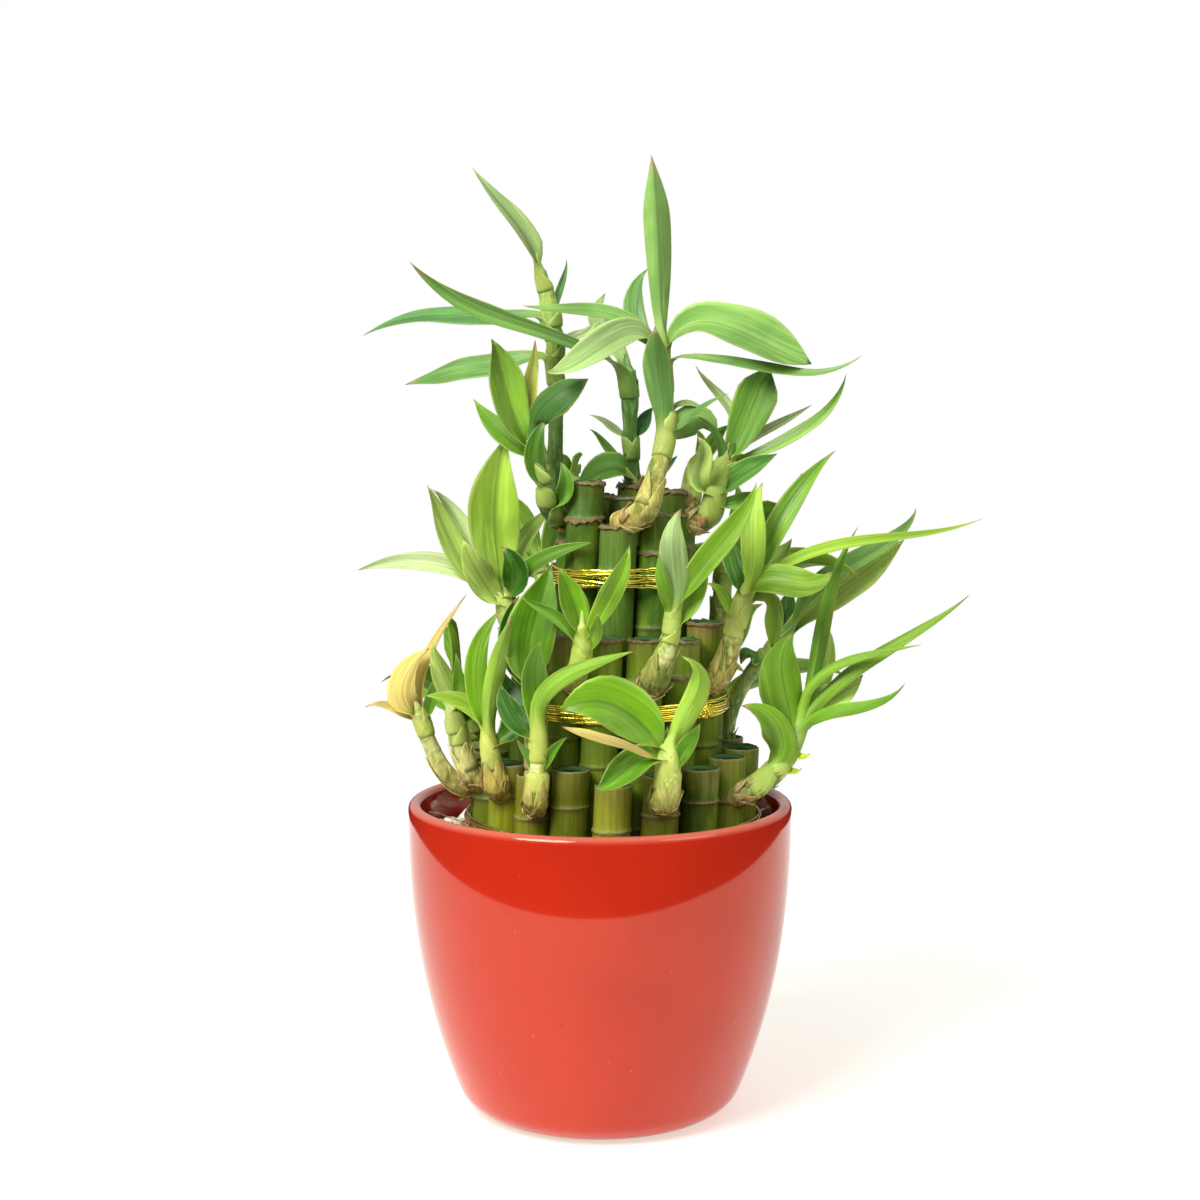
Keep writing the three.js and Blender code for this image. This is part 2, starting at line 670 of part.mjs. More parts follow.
// a shoot at the back: stem out of the cane near its top, leaves set alternately round it
function grownShoot(cane, seed, size) {
  const draw = drawer(seed);
  const spot = caneSpot(cane);
  const start = caneAxis(spot, spot.top - 9);
  const heading = spot.angle + (draw() - 0.5) * 0.5;
  const out = new THREE.Vector3(Math.sin(heading), -Math.cos(heading), 0);
  const tall = size * (22 + 16 * draw());
  const place = (reach, rise) => [
    start.x + out.x * reach,
    start.y + out.y * reach,
    start.z + rise,
  ];
  const lean = 3 + 5 * draw();
  const stem = [
    [...place(0, 0), 4.8],
    [...place(9, 4), 4.6],
    [...place(9 + lean * 0.5, 6 + tall * 0.5), 3.7],
    [...place(9 + lean, 4 + tall), 2.6],
  ];
  const leaves = [];
  const count = 4;
  for (let i = 0; i < count; i += 1) {
    const share = 0.45 + (0.5 * i) / (count - 1);
    const reach = 9 + lean * share;
    const base = place(reach, 4 + tall * share);
    const turnOut = heading + (i % 2 ? 1 : -1) * (0.5 + 0.6 * draw());
    const pitch = rad(20 + 14 * i + 16 * draw());
    const length = size * (50 + 22 * draw() - 4 * i);
    const droop = size * (8 + 14 * draw());
    const spread = (f, sink) => [
      base[0] + Math.sin(turnOut) * length * f * Math.cos(pitch),
      base[1] - Math.cos(turnOut) * length * f * Math.cos(pitch),
      base[2] + length * f * Math.sin(pitch) - sink,
    ];
    const blade = (9 + 5 * draw()) * Math.sqrt(size);
    leaves.push([base, spread(0.33, 0), spread(0.68, droop * 0.3), spread(1, droop), blade, 0.48, 0]);
  }
  return { cane, stem, leaves, face: [out.x * 0.8, out.y * 0.8, 0.6] };
}

function allShoots() {
  const front = Object.values(shoots).map((s) => ({ ...s, face: frontFace }));
  const back = backShoots.map(([cane, seed, size]) => grownShoot(cane, seed, size));
  return [...front, ...back];
}

function stalkSolid(name, grown) {
  const parts = [caneSolid(caneSpot(name))];
  for (const shoot of grown.filter((s) => s.cane === name)) {
    parts.push(stemSolid(shoot.stem));
    for (const leaf of shoot.leaves) {
      parts.push(leafSolid(leaf, shoot.face, shoot.stem));
    }
  }
  return oneBody(fuse(parts));
}

// ---------- pot, pebbles, ties ----------

function potOutside(z) {
  const t = (potHeight - z) / potHeight;
  return potRimRadius - (potRimRadius - potBaseRadius) * t ** potBellyPower;
}

function lathe(profile, sides) {
  const outline = profile.map(([r, z]) => new THREE.Vector2(r, z));
  return toManifold(new THREE.LatheGeometry(outline, sides).rotateX(Math.PI / 2));
}

function potSolid() {
  const profile = [[0, 0]];
  for (let i = 0; i <= 3; i += 1) {
    const a = (Math.PI / 2) * (i / 3);
    const z = potCornerRadius * (1 - Math.cos(a));
    profile.push([potOutside(z) - potCornerRadius * (1 - Math.sin(a)), z]);
  }
  for (const z of [28, 52, 80, 111.5]) {
    profile.push([potOutside(z), z]);
  }
  profile.push([potRimRadius - 1.4, potHeight], [potRimRadius - potWall + 1.4, potHeight]);
  profile.push([potRimRadius - potWall, potHeight - 1.6]);
  for (const z of [80, 52, 28, potFloor + 5]) {
    profile.push([potOutside(z) - potWall, z]);
  }
  profile.push([potOutside(potFloor) - potWall - 6, potFloor], [0, potFloor]);
  return lathe(profile, potSides);
}

function pebbleSolid(x, y, z, draw) {
  const stone = new THREE.IcosahedronGeometry(1, 0);
  stone.rotateZ(draw() * 6.28);
  stone.rotateX(draw() * 6.28);
  const size = pebbleSize * (0.8 + 0.5 * draw());
  stone.scale(size, size * (0.7 + 0.3 * draw()), size * 0.62);
  stone.rotateZ(draw() * 6.28);
  stone.translate(x, y, z);
  return toManifold(stone);
}

function bedSolid() {
  const profile = [[0, potFloor + fitGap], [potOutside(potFloor) - potWall - 7, potFloor + fitGap]];
  for (const z of [potFloor + 6, 28, 52, 80]) {
    profile.push([potOutside(z) - potWall - fitGap - 0.4, z]);
  }
  profile.push([potOutside(bedTop) - potWall - 1, bedTop], [0, bedTop]);
  const parts = [lathe(profile, potSides)];
  const draw = drawer(5);
  let placed = 0;
  while (placed < pebbleCount) {
    const a = draw() * 2 * Math.PI;
    const r = 46 + 18 * draw();
    const x = r * Math.cos(a);
    const y = r * Math.sin(a);
    const fromBundle = Math.hypot(x - bundleAt(bedTop), y);
    if (r < 59.5 && fromBundle > tiers.outer.ring + caneRadius + 1.5) {
      parts.push(pebbleSolid(x, y, bedTop - 0.4, draw));
      placed += 1;
    }
  }
  const reach = tiers.outer.ring + caneRadius + fitGap + 0.9;
  const well = ringSolid([
    flatRing(bundleAt(wellFloor), 0, wellFloor, reach, 24),
    flatRing(bundleAt(bedTop + 12), 0, bedTop + 12, reach, 24),
  ]);
  return oneBody(fuse(parts).subtract(well));
}

// a band of wound wire round a ring of canes
function tieSolid(ring, height, seed) {
  const draw = drawer(seed);
  const reach = ring + caneRadius + 0.5;
  const rings = [];
  for (let i = 0; i < tieSides; i += 1) {
    const a = (2 * Math.PI * i) / tieSides;
    const rise = height + 0.7 * Math.sin(a * 3 + seed);
    const half = (tieBand / 2) * (0.8 + 0.25 * draw());
    const thick = tieThick * (0.9 + 0.5 * draw());
    const x = bundleAt(height);
    const spot = (r, z) => new THREE.Vector3(x + r * Math.cos(a), r * Math.sin(a), z);
    rings.push([
      spot(reach, rise - half),
      spot(reach + thick, rise - half * 0.5),
      spot(reach + thick * 0.75, rise + half * 0.1),
      spot(reach + thick, rise + half * 0.6),
      spot(reach, rise + half),
    ]);
  }
  const faces = [];
  const sides = 5;
  for (let k = 0; k < tieSides; k += 1) {
    const a = k * sides;
    const b = ((k + 1) % tieSides) * sides;
    for (let i = 0; i < sides; i += 1) {
      const j = (i + 1) % sides;
      faces.push([a + i, b + j, a + j], [a + i, b + i, b + j]);
    }
  }
  return solidFrom(rings.flat(), faces);
}

// the crumpled twist where the ends of the wire meet
function knotSolid(ring, height) {
  const a = rad(knotAngle);
  const reach = ring + caneRadius + 0.9 + knotSize[1];
  const knot = new THREE.IcosahedronGeometry(1, 0);
  knot.scale(...knotSize);
  knot.rotateZ(a);
  knot.translate(bundleAt(height) + reach * Math.sin(a), -reach * Math.cos(a), height);
  return toManifold(knot);
}

// ---------- assembly ----------

const group = new THREE.Group();
group.name = 'lucky_bamboo';

function addNode(name, solid, look) {
  const mesh = solid.getMesh();
  const geometry = new THREE.BufferGeometry();
  geometry.setAttribute('position', new THREE.BufferAttribute(new Float32Array(mesh.vertProperties), 3));
  geometry.setIndex(new THREE.BufferAttribute(new Uint32Array(mesh.triVerts), 1));
  geometry.computeVertexNormals();
  const node = new THREE.Mesh(geometry, new THREE.MeshStandardMaterial(look));
  node.name = name;
  group.add(node);
}

const looks = {
  glaze: { color: 0xc8381f, roughness: 0.12, metalness: 0 },
  stone: { color: 0xb9b6ab, roughness: 0.7, metalness: 0 },
  gold: { color: 0xd9b23a, roughness: 0.25, metalness: 1 },
  leafy: { color: 0x6fa83a, roughness: 0.45, metalness: 0 },
  cane: { color: 0x4d6b33, roughness: 0.5, metalness: 0 },
};

const grown = allShoots();
addNode('pot', potSolid(), looks.glaze);
addNode('pebble_bed', bedSolid(), looks.stone);
Object.keys(tiers).forEach((tier, k) => {
  let tie = tieSolid(tiers[tier].ring, tieHeights[tier], k + 3);
  if (tier === 'middle') {
    tie = oneBody(tie.add(knotSolid(tiers[tier].ring, tieHeights[tier])));
  }
  addNode(`tie_${tier}`, tie, looks.gold);
});
for (const tier of Object.keys(tiers)) {
  tiers[tier].angles.forEach((_, k) => {
    const name = `${tier}_${k + 1}`;
    const leafy = grown.some((s) => s.cane === name);
    addNode(`stalk_${name}`, stalkSolid(name, grown), leafy ? looks.leafy : looks.cane);
  });
}
addNode('stalk_core_1', stalkSolid('core_1', grown), looks.cane);

export default group;
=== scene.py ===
# Lucky bamboo in a red glazed pot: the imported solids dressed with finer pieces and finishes.
# Lengths in the tables are millimetres in the part's own frame, with the front toward -Y.
import math
import random

import bmesh
import bpy
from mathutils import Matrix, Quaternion, Vector, noise


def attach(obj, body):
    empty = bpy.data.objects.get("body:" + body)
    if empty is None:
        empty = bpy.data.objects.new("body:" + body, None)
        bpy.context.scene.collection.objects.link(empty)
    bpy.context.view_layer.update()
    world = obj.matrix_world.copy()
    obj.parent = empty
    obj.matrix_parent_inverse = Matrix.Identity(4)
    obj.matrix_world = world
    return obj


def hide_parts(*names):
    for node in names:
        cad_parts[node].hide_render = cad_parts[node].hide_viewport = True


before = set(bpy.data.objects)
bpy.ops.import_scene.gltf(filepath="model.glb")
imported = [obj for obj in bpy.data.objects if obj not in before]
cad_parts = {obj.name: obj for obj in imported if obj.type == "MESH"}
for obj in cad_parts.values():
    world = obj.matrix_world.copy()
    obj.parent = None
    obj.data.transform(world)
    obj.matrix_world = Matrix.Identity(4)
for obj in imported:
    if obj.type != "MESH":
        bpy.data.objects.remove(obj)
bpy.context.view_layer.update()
scene = bpy.context.scene
mm = 0.001
print("frame loaded:", len(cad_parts), "nodes")


class Flow:
    # one socket of a node tree; plain sums on it add Math nodes
    def __init__(self, tree, socket=None):
        self.tree = tree
        self.socket = socket

    def node(self, kind, settings=None, sockets=None, out=0):
        made = self.tree.nodes.new(kind)
        for key, value in (settings or {}).items():
            setattr(made, key, value)
        for key, value in (sockets or {}).items():
            if isinstance(value, Flow):
                self.tree.links.new(value.socket, made.inputs[key])
            else:
                made.inputs[key].default_value = value
        return Flow(self.tree, made.outputs[out] if made.outputs else None)

    def math(self, operation, *values):
        return self.node("ShaderNodeMath", {"operation": operation}, dict(enumerate(values)))

    def __add__(self, other):
        return self.math("ADD", self, other)

    def __radd__(self, other):
        return self.math("ADD", other, self)

    def __sub__(self, other):
        return self.math("SUBTRACT", self, other)

    def __rsub__(self, other):
        return self.math("SUBTRACT", other, self)

    def __mul__(self, other):
        return self.math("MULTIPLY", self, other)

    def __rmul__(self, other):
        return self.math("MULTIPLY", other, self)

    def __abs__(self):
        return self.math("ABSOLUTE", self)

    def step(self, start, end):
        # soft step from 0 at start to 1 at end, which may be the lower of the two
        settings = {"interpolation_type": "SMOOTHSTEP"}
        sockets = {0: self, 1: min(start, end), 2: max(start, end)}
        made = self.node("ShaderNodeMapRange", settings, sockets)
        return 1 - made if start > end else made


def paint(colour):
    return colour if isinstance(colour, Flow) else (*colour[:3], 1)


def mixed(mask, under, over):
    base = mask if isinstance(mask, Flow) else under
    sockets = {0: mask, 6: paint(under), 7: paint(over)}
    return base.node("ShaderNodeMix", {"data_type": "RGBA"}, sockets, 2)


def shaded(colour, amount):
    # colour times a grey amount
    return colour.node("ShaderNodeVectorMath", {"operation": "SCALE"}, {0: colour, "Scale": amount})


def newFinish(name, build, **fixed):
    # fixed values go on the shader's own sockets; build returns what varies over the surface
    made = bpy.data.materials.new(name)
    made.use_nodes = True
    tree = made.node_tree
    shader = tree.nodes["Principled BSDF"]
    for key, value in fixed.items():
        shader.inputs[key.replace("_", " ")].default_value = value
    for key, value in build(Flow(tree)).items():
        tree.links.new(value.socket, shader.inputs[key])
    return made


def place(flow):
    return flow.node("ShaderNodeTexCoord", None, None, "Object")


def mark(flow, name, out="Fac"):
    return flow.node("ShaderNodeAttribute", {"attribute_name": name}, None, out)


def grain(where, scale, detail=2.0, rough=0.5):
    sockets = {"Vector": where, "Scale": scale, "Detail": detail, "Roughness": rough}
    return where.node("ShaderNodeTexNoise", None, sockets)


def stretched(where, rise):
    # drawn out upward where rise is under 1
    return where.node("ShaderNodeVectorMath", {"operation": "MULTIPLY"}, {0: where, 1: (1, 1, rise)})


def joined(flow, x, y, z):
    return flow.node("ShaderNodeCombineXYZ", None, {0: x, 1: y, 2: z})


def relief(height, distance, strength=1.0):
    sockets = {"Strength": strength, "Distance": distance, "Height": height}
    return height.node("ShaderNodeBump", None, sockets)


glazeLook = {
    "red": (0.50, 0.024, 0.008),
    "deep": (0.43, 0.018, 0.006),
    "dust": (0.70, 0.22, 0.14),
    "pinHole": (0.20, 0.01, 0.008),
    "clay": (0.50, 0.30, 0.20),
    # the rim colour is a painted reflection on the lip
    "rim": (0.62, 0.22, 0.14),
    "clayBelow": (0.0011, 0.0006),  # metres up
    "rimAbove": (0.1112, 0.1130),
    "roughness": 0.03,
    "coat": 0.15,
}


def glazeNodes(flow):
    where = place(flow)
    height = where.node("ShaderNodeSeparateXYZ", None, {0: where}, 2)
    cloud = grain(where, 14, 3)
    body = mixed(cloud.step(0.35, 0.7), glazeLook["red"], glazeLook["deep"])
    # a fine scatter of pale dust and pin holes under the glaze
    dust = grain(where, 420, 1).step(0.76, 0.80)
    body = mixed(dust * 0.2, body, glazeLook["dust"])
    pits = grain(where, 310, 1).step(0.79, 0.82)
    body = mixed(pits * 0.5, body, glazeLook["pinHole"])
    foot = height.step(*glazeLook["clayBelow"])
    body = mixed(foot, body, glazeLook["clay"])
    # painted reflection: the rounded lip of the glaze is painted paler, in place of the light it catches
    rim = height.step(*glazeLook["rimAbove"])
    body = mixed(rim * 0.5, body, glazeLook["rim"])
    waves = grain(where, 38, 2) * 0.6 + grain(where, 130, 1) * 0.06
    return {
        "Base Color": body,
        "Roughness": glazeLook["roughness"] + cloud * 0.03 + rim * 0.05 + foot * 0.6,
        "Coat Weight": glazeLook["coat"] * (1 - foot),
        "Normal": relief(waves - pits * 0.4, 0.00006, 0.3),
    }


glaze = newFinish(
    "red glaze", glazeNodes, Coat_IOR=1.5, Coat_Roughness=0.12, Specular_IOR_Level=0.56,
    Specular_Tint=(1.0, 0.76, 0.58, 1),
)

stoneLook = {"white": (0.93, 0.91, 0.82), "grey": (0.66, 0.69, 0.60), "dark": (0.24, 0.24, 0.19)}


def stoneNodes(flow):
    where = place(flow)
    tone = mark(flow, "tone", "Color")
    veins = grain(where, 260, 4, 0.6)
    body = mixed(veins.step(0.45, 0.75) * 0.45, tone, stoneLook["grey"])
    body = mixed(grain(where, 900, 2).step(0.62, 0.7) * 0.5, body, stoneLook["dark"])
    return {
        "Base Color": body,
        "Roughness": 0.35 + veins * 0.3,
        "Normal": relief(veins + grain(where, 1400, 2) * 0.4, 0.0003, 0.5),
    }


stone = newFinish("river pebble", stoneNodes)

gritLook = {"wet": (0.09, 0.075, 0.05), "pale": (0.26, 0.24, 0.19)}


def gritNodes(flow):
    coarse = grain(place(flow), 480, 4, 0.7)
    return {
        "Base Color": mixed(coarse.step(0.4, 0.62), gritLook["wet"], gritLook["pale"]),
        "Roughness": 0.85 - coarse * 0.2,
        "Normal": relief(coarse, 0.0012, 0.9),
    }


grit = newFinish("damp grit", gritNodes)

rootLook = {"brown": (0.42, 0.24, 0.09), "pale": (0.60, 0.44, 0.24), "hair": (0.10, 0.045, 0.02)}


def rootNodes(flow):
    hair = grain(place(flow), 700, 3)
    tone = mark(flow, "tone", "Color")
    return {
        "Base Color": mixed(hair.step(0.4, 0.65) * 0.6, tone, rootLook["hair"]),
        "Roughness": 0.6 + hair * 0.3,
        "Normal": relief(hair, 0.0003, 0.6),
    }


rootSkin = newFinish("fine root", rootNodes)


def goldNodes(flow):
    where = place(flow)
    crease = grain(where, 300, 3, 0.6)
    foil = grain(where, 160, 2)
    tone = mark(flow, "tone", "Color")
    return {
        "Base Color": mixed(foil.step(0.35, 0.7), tone, shaded(tone, 0.84)),
        "Roughness": 0.16 + crease * 0.16,
        "Normal": relief(crease, 0.0005, 0.7),
    }


goldFoil = newFinish("gold foil wire", goldNodes, Metallic=1.0)

leafLook = {
    "sheath": (0.52, 0.60, 0.12),
    "pale": (0.58, 0.70, 0.17),
    "warm": (0.40, 0.48, 0.020),
    "margin": (0.62, 0.70, 0.19),
    "under": (0.30, 0.47, 0.09),
    "dry": (0.40, 0.25, 0.11),
    "dryEdge": (0.20, 0.11, 0.05),
}


def leafNodes(flow):
    where = place(flow)
    tone = mark(flow, "tone", "Color")
    run = mark(flow, "run")
    side = mark(flow, "side")
    wide = mark(flow, "wide")  # millimetres from the midrib
    own = mark(flow, "own")
    under = mark(flow, "under")
    age = mark(flow, "age")
    green = 1 - mark(flow, "dry")
    # lengthwise veins: broad bands and fine lines, drawn out along the blade
    bands = grain(joined(flow, wide * 0.34 + own * 40, run * 1.5, own * 17), 1.0, 3, 0.6)
    lines = grain(joined(flow, wide * 0.95 + own * 60, run * 1.3, own * 9), 1.0, 2, 0.7)
    patch = grain(where, 55, 3)
    # painted light and shade: one half of each folded blade is painted lighter and the other darker, by a
    # chance amount for each leaf; the blade also turns lighter or darker at random along its length
    paintedFoldShade = (own * 3 - 1.5) * (side.step(-0.16, 0.16) - 0.5) * 0.30
    ends = (grain(joined(flow, own * 70, run * 1.6, 0.0), 1.0, 1) - 0.5) * 1.1
    shade = 0.36 + bands * 0.72 + lines * 0.48 + paintedFoldShade + ends
    body = shaded(tone, shade.math("MAXIMUM", shade, 0.3))
    keel = abs(side).step(0.5, 0.0)
    light = mixed(0.22, shaded(tone, 1.6), leafLook["pale"])
    deep = shaded(tone, 0.45)
    body = mixed(keel * own.step(0.5, 0.9) * 0.35, body, light)
    body = mixed(keel * own.step(0.45, 0.1) * 0.35, body, deep)
    body = mixed(bands.step(0.55, 0.72) * 0.45, body, light)
    body = mixed(lines.step(0.57, 0.70) * 0.40, body, light)
    body = mixed(patch.step(0.52, 0.72) * green * 0.35, body, deep)
    warm = mixed(0.35, shaded(tone, 1.1), leafLook["warm"])
    body = mixed((bands * 0.5 + patch * 0.5).step(0.46, 0.32) * green * 0.5, body, warm)
    body = mixed(under * green * run.step(0.05, 0.3) * 0.10, body, leafLook["under"])
    # painted shade: the crease along the midrib of the fold is darkened
    crease = abs(side).step(0.09, 0.02) * run.step(0.0, 0.2)
    body = mixed(crease * 0.45, body, shaded(tone, 0.42))
    # the foot of a blade is as pale as the sheath that it grows from
    foot = (run + (lines - 0.5) * 0.25).step(0.24, -0.05)
    base = mixed(lines.step(0.42, 0.60), leafLook["sheath"], leafLook["pale"])
    base = mixed(patch.step(0.46, 0.62) * 0.8, base, tone)
    body = mixed(foot * 0.62, body, shaded(base, 0.62 + lines * 0.66))
    body = mixed(abs(side).step(0.86, 0.97) * 0.36, body, leafLook["margin"])
    ragged = run + (patch - 0.5) * 0.12 + (lines - 0.5) * 0.1
    body = mixed(age * ragged.step(0.88, 0.98) * 0.9, body, leafLook["dry"])
    body = mixed(age * ragged.step(0.96, 1.0) * 0.8, body, leafLook["dryEdge"])
    return {
        "Base Color": body,
        "Roughness": 0.30 + lines * 0.16 + under * 0.14,
        "Normal": relief(lines * 0.5 + bands * 0.7, 0.0008, 0.45),
    }


leafSkin = newFinish("leaf blade", leafNodes, Specular_IOR_Level=0.32)

shootLook = {
    "light": (0.80, 0.80, 0.36),
    "green": (0.09, 0.20, 0.016),
    "scar": (0.30, 0.22, 0.07),
    "base": (0.40, 0.29, 0.07),
    "husk": (0.72, 0.57, 0.16),
    "huskBelow": (19.0, 12.5),  # millimetres up from the cane
}


def shootNodes(flow):
    where = place(flow)
    tone = mark(flow, "tone", "Color")
    run = mark(flow, "run")  # millimetres up from the cane
    ring = mark(flow, "ring")
    age = mark(flow, "age")
    streak = grain(stretched(where, 0.14), 620, 3, 0.65)
    patch = grain(stretched(where, 0.5), 150, 3, 0.6)
    body = shaded(tone, 0.38 + streak * 1.2)
    body = mixed(patch.step(0.48, 0.58) * age * 0.8, body, shootLook["light"])
    dark = mixed(age, shaded(tone, 0.5), shootLook["green"])
    body = mixed(patch.step(0.47, 0.40) * (0.5 + age * 0.35), body, dark)
    body = mixed(streak.step(0.54, 0.64) * (0.15 + age * 0.45), body, shootLook["light"])
    body = mixed(ring * (0.2 + patch * 0.8) * age, body, shootLook["scar"])
    stain = (run + patch * 9 + streak * 4).step(*shootLook["huskBelow"])
    husk = mixed(streak.step(0.42, 0.58), shootLook["base"], shootLook["husk"])
    body = mixed(stain * (0.45 + age * 0.4), body, husk)
    return {
        "Base Color": body,
        "Roughness": 0.42 + streak * 0.16 + stain * 0.2,
        "Normal": relief(streak * 0.6 + patch * 0.8, 0.0010, 0.7),
    }


shootSkin = newFinish(
    "green shoot", shootNodes, Subsurface_Weight=0.12, Subsurface_Scale=0.0015,
    Subsurface_Radius=(0.8, 1.0, 0.3), Specular_IOR_Level=0.3,
)

caneLook = {
    "bloom": (0.20, 0.33, 0.14),
    "light": (0.26, 0.36, 0.04),
    "stain": (0.24, 0.16, 0.05),
    "stainLight": (0.34, 0.25, 0.09),
    "stainAbove": (20.0, 9.0),  # millimetres down from the cut top
    "rim": (0.25, 0.24, 0.09),
    "bark": (0.20, 0.12, 0.065),
    "scar": (0.15, 0.09, 0.04),
}


def caneNodes(flow):
    where = place(flow)
    tone = mark(flow, "tone", "Color")
    run = mark(flow, "run")  # millimetres down from the cut top
    ring = mark(flow, "ring")
    age = mark(flow, "age")
    bark = mark(flow, "own")
    streak = grain(stretched(where, 0.06), 850, 3, 0.65)
    patch = grain(stretched(where, 0.35), 140, 4, 0.6)
    body = shaded(tone, 0.40 + streak * 1.0)
    body = mixed(patch.step(0.52, 0.72) * 0.35 * bark, body, caneLook["bloom"])
    body = mixed(patch.step(0.50, 0.34) * 0.4, body, caneLook["light"])
    soiled = age * (run + patch * 14 + streak * 6).step(*caneLook["stainAbove"])
    soil = mixed(streak.step(0.4, 0.6), caneLook["stain"], caneLook["stainLight"])
    body = mixed(soiled * 0.85, body, soil)
    body = mixed(ring * 0.6, body, caneLook["rim"])
    body = mixed(mark(flow, "scar") * 0.75, body, caneLook["scar"])
    lip = (run + patch * 1.2).step(1.3, 0.6)
    body = mixed(lip * 0.9, body, mixed(bark, caneLook["rim"], caneLook["bark"]))
    return {
        "Base Color": body,
        "Roughness": 0.26 + streak * 0.2 + ring * 0.3 + lip * 0.3,
        "Normal": relief(streak, 0.0004, 0.5),
    }


caneSkin = newFinish("cane skin", caneNodes, Specular_IOR_Level=0.28)

pithLook = {"dark": (0.014, 0.045, 0.016), "edge": (0.055, 0.12, 0.035), "fibre": (0.18, 0.25, 0.10)}


def pithNodes(flow):
    fibre = grain(place(flow), 1500, 2)
    edge = mark(flow, "ring").step(0.55, 0.95)
    body = mixed(edge, pithLook["dark"], pithLook["edge"])
    return {
        "Base Color": mixed(fibre.step(0.58, 0.7) * 0.35, body, pithLook["fibre"]),
        "Roughness": 0.5 + fibre * 0.3,
        "Normal": relief(fibre, 0.0003, 0.6),
    }


cutPith = newFinish("cut cane top", pithNodes, Specular_IOR_Level=0.12)

paperLook = {
    "tip": (0.24, 0.13, 0.04),
    "collar": (0.28, 0.19, 0.075),
    "scale": ((0.52, 0.31, 0.10), (0.78, 0.68, 0.28)),
    "husk": (0.70, 0.66, 0.18),
}


def scaleNodes(flow):
    fibre = grain(stretched(place(flow), 0.25), 800, 3)
    tone = mark(flow, "tone", "Color")
    body = mixed(fibre.step(0.35, 0.7), shaded(tone, 0.62), tone)
    return {
        "Base Color": mixed(mark(flow, "run").step(0.75, 1.0) * 0.4, body, paperLook["tip"]),
        "Roughness": 0.75 - fibre * 0.1,
        "Normal": relief(fibre, 0.0004, 0.7),
    }


paperScale = newFinish("papery scale", scaleNodes)
print("finishes ready")


class Skin:
    # gathers closed skins into one mesh, with marks on the points for the finishes to read
    def __init__(self, *finishes):
        self.points = []
        self.faces = []
        self.slots = []
        self.tones = []
        # run is how far along, side and wide how far across a blade, own a chance value or a cane's
        # bark, age how worn or mottled, ring and scar the marks of its nodes
        names = ("run", "side", "own", "under", "age", "ring", "scar", "wide", "dry")
        self.marks = {name: [] for name in names}
        self.finishes = finishes

    def point(self, spot, tone, **marks):
        self.points.append(spot)
        self.tones.append(tone)
        for key, values in self.marks.items():
            values.append(marks.get(key, 0.0))
        return len(self.points) - 1

    def face(self, corners, slot):
        self.faces.append(corners)
        self.slots.append(slot)

    def outward(self, first):
        # turns one closed part, all its faces from the first on, so that it faces out
        volume = 0.0
        for corners in self.faces[first:]:
            a, *rest = [Vector(self.points[i]) for i in corners]
            for b, c in zip(rest, rest[1:]):
                volume += a.dot(b.cross(c))
        if volume < 0:
            self.faces[first:] = [tuple(reversed(corners)) for corners in self.faces[first:]]

    def band(self, rings, slot):
        # rings of point numbers, all of one length, joined in their order
        sides = len(rings[0])
        for low, high in zip(rings, rings[1:]):
            for i in range(sides):
                j = (i + 1) % sides
                self.face((low[i], low[j], high[j], high[i]), slot)

    def tube(self, rings, slot, closed=False):
        # a closed skin over rings; its two ends meet, or else get a face each
        first = len(self.faces)
        self.band(rings + rings[:1] if closed else rings, slot)
        if not closed:
            self.face(tuple(reversed(rings[0])), slot)
            self.face(tuple(rings[-1]), slot)
        self.outward(first)

    def finish(self, name, *nodes, slotName=None):
        mesh = bpy.data.meshes.new(name)
        mesh.from_pydata([(p[0] * mm, p[1] * mm, p[2] * mm) for p in self.points], [], self.faces)
        for made in self.finishes:
            mesh.materials.append(made)
        mesh.polygons.foreach_set("material_index", self.slots)
        mesh.polygons.foreach_set("use_smooth", [True] * len(self.faces))
        for key, values in self.marks.items():
            if any(values):
                mesh.attributes.new(key, "FLOAT", "POINT").data.foreach_set("value", values)
        tones = mesh.attributes.new("tone", "FLOAT_COLOR", "POINT")
        tones.data.foreach_set("color", [v for t in self.tones for v in (*t, 1)])
        piece = bpy.data.objects.new(name, mesh)
        scene.collection.objects.link(piece)
        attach(piece, "root")
        if nodes:
            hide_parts(*nodes)


def lerp(a, b, t):
    return a + (b - a) * t


def blend3(a, b, t):
    return tuple(lerp(p, q, t) for p, q in zip(a, b))


def ease(t):
    t = min(1.0, max(0.0, t))
    return t * t * (3 - 2 * t)


def jitter(tone, rng, amount):
    lift = 1 + amount * (rng.random() - 0.5) * 2
    warm = 1 + amount * 0.5 * (rng.random() - 0.5) * 2
    return (tone[0] * lift * warm, tone[1] * lift, tone[2] * lift)


def spokes(count):
    # angles of evenly spaced points round a ring
    return [2 * math.pi * i / count for i in range(count)]


def wander(a, scale, level):
    # noise that closes round a ring; scale sets how busy it is
    return noise.noise(Vector((math.cos(a) * scale, math.sin(a) * scale, level)))


def curveAt(points, k, t):
    # smooth curve through the points, from point k to the next
    p0, p1 = points[max(k - 1, 0)], points[k]
    p2, p3 = points[k + 1], points[min(k + 2, len(points) - 1)]
    bend = 2 * p0 - 5 * p1 + 4 * p2 - p3
    swing = 3 * p1 - p0 - 3 * p2 + p3
    return 0.5 * (2 * p1 + (p2 - p0) * t + bend * t * t + swing * t ** 3)


pot = {
    "height": 113.3, "rim": 70.0, "base": 48.6, "belly": 2.37, "corner": 8.0, "wall": 5.0, "floor": 7.0,
    "sides": 144, "wander": 0.10, "inset": 0.06, "tone": (0.6, 0.03, 0.01),
}


def potOutside(z):
    share = (pot["height"] - z) / pot["height"]
    return pot["rim"] - (pot["rim"] - pot["base"]) * share ** pot["belly"]


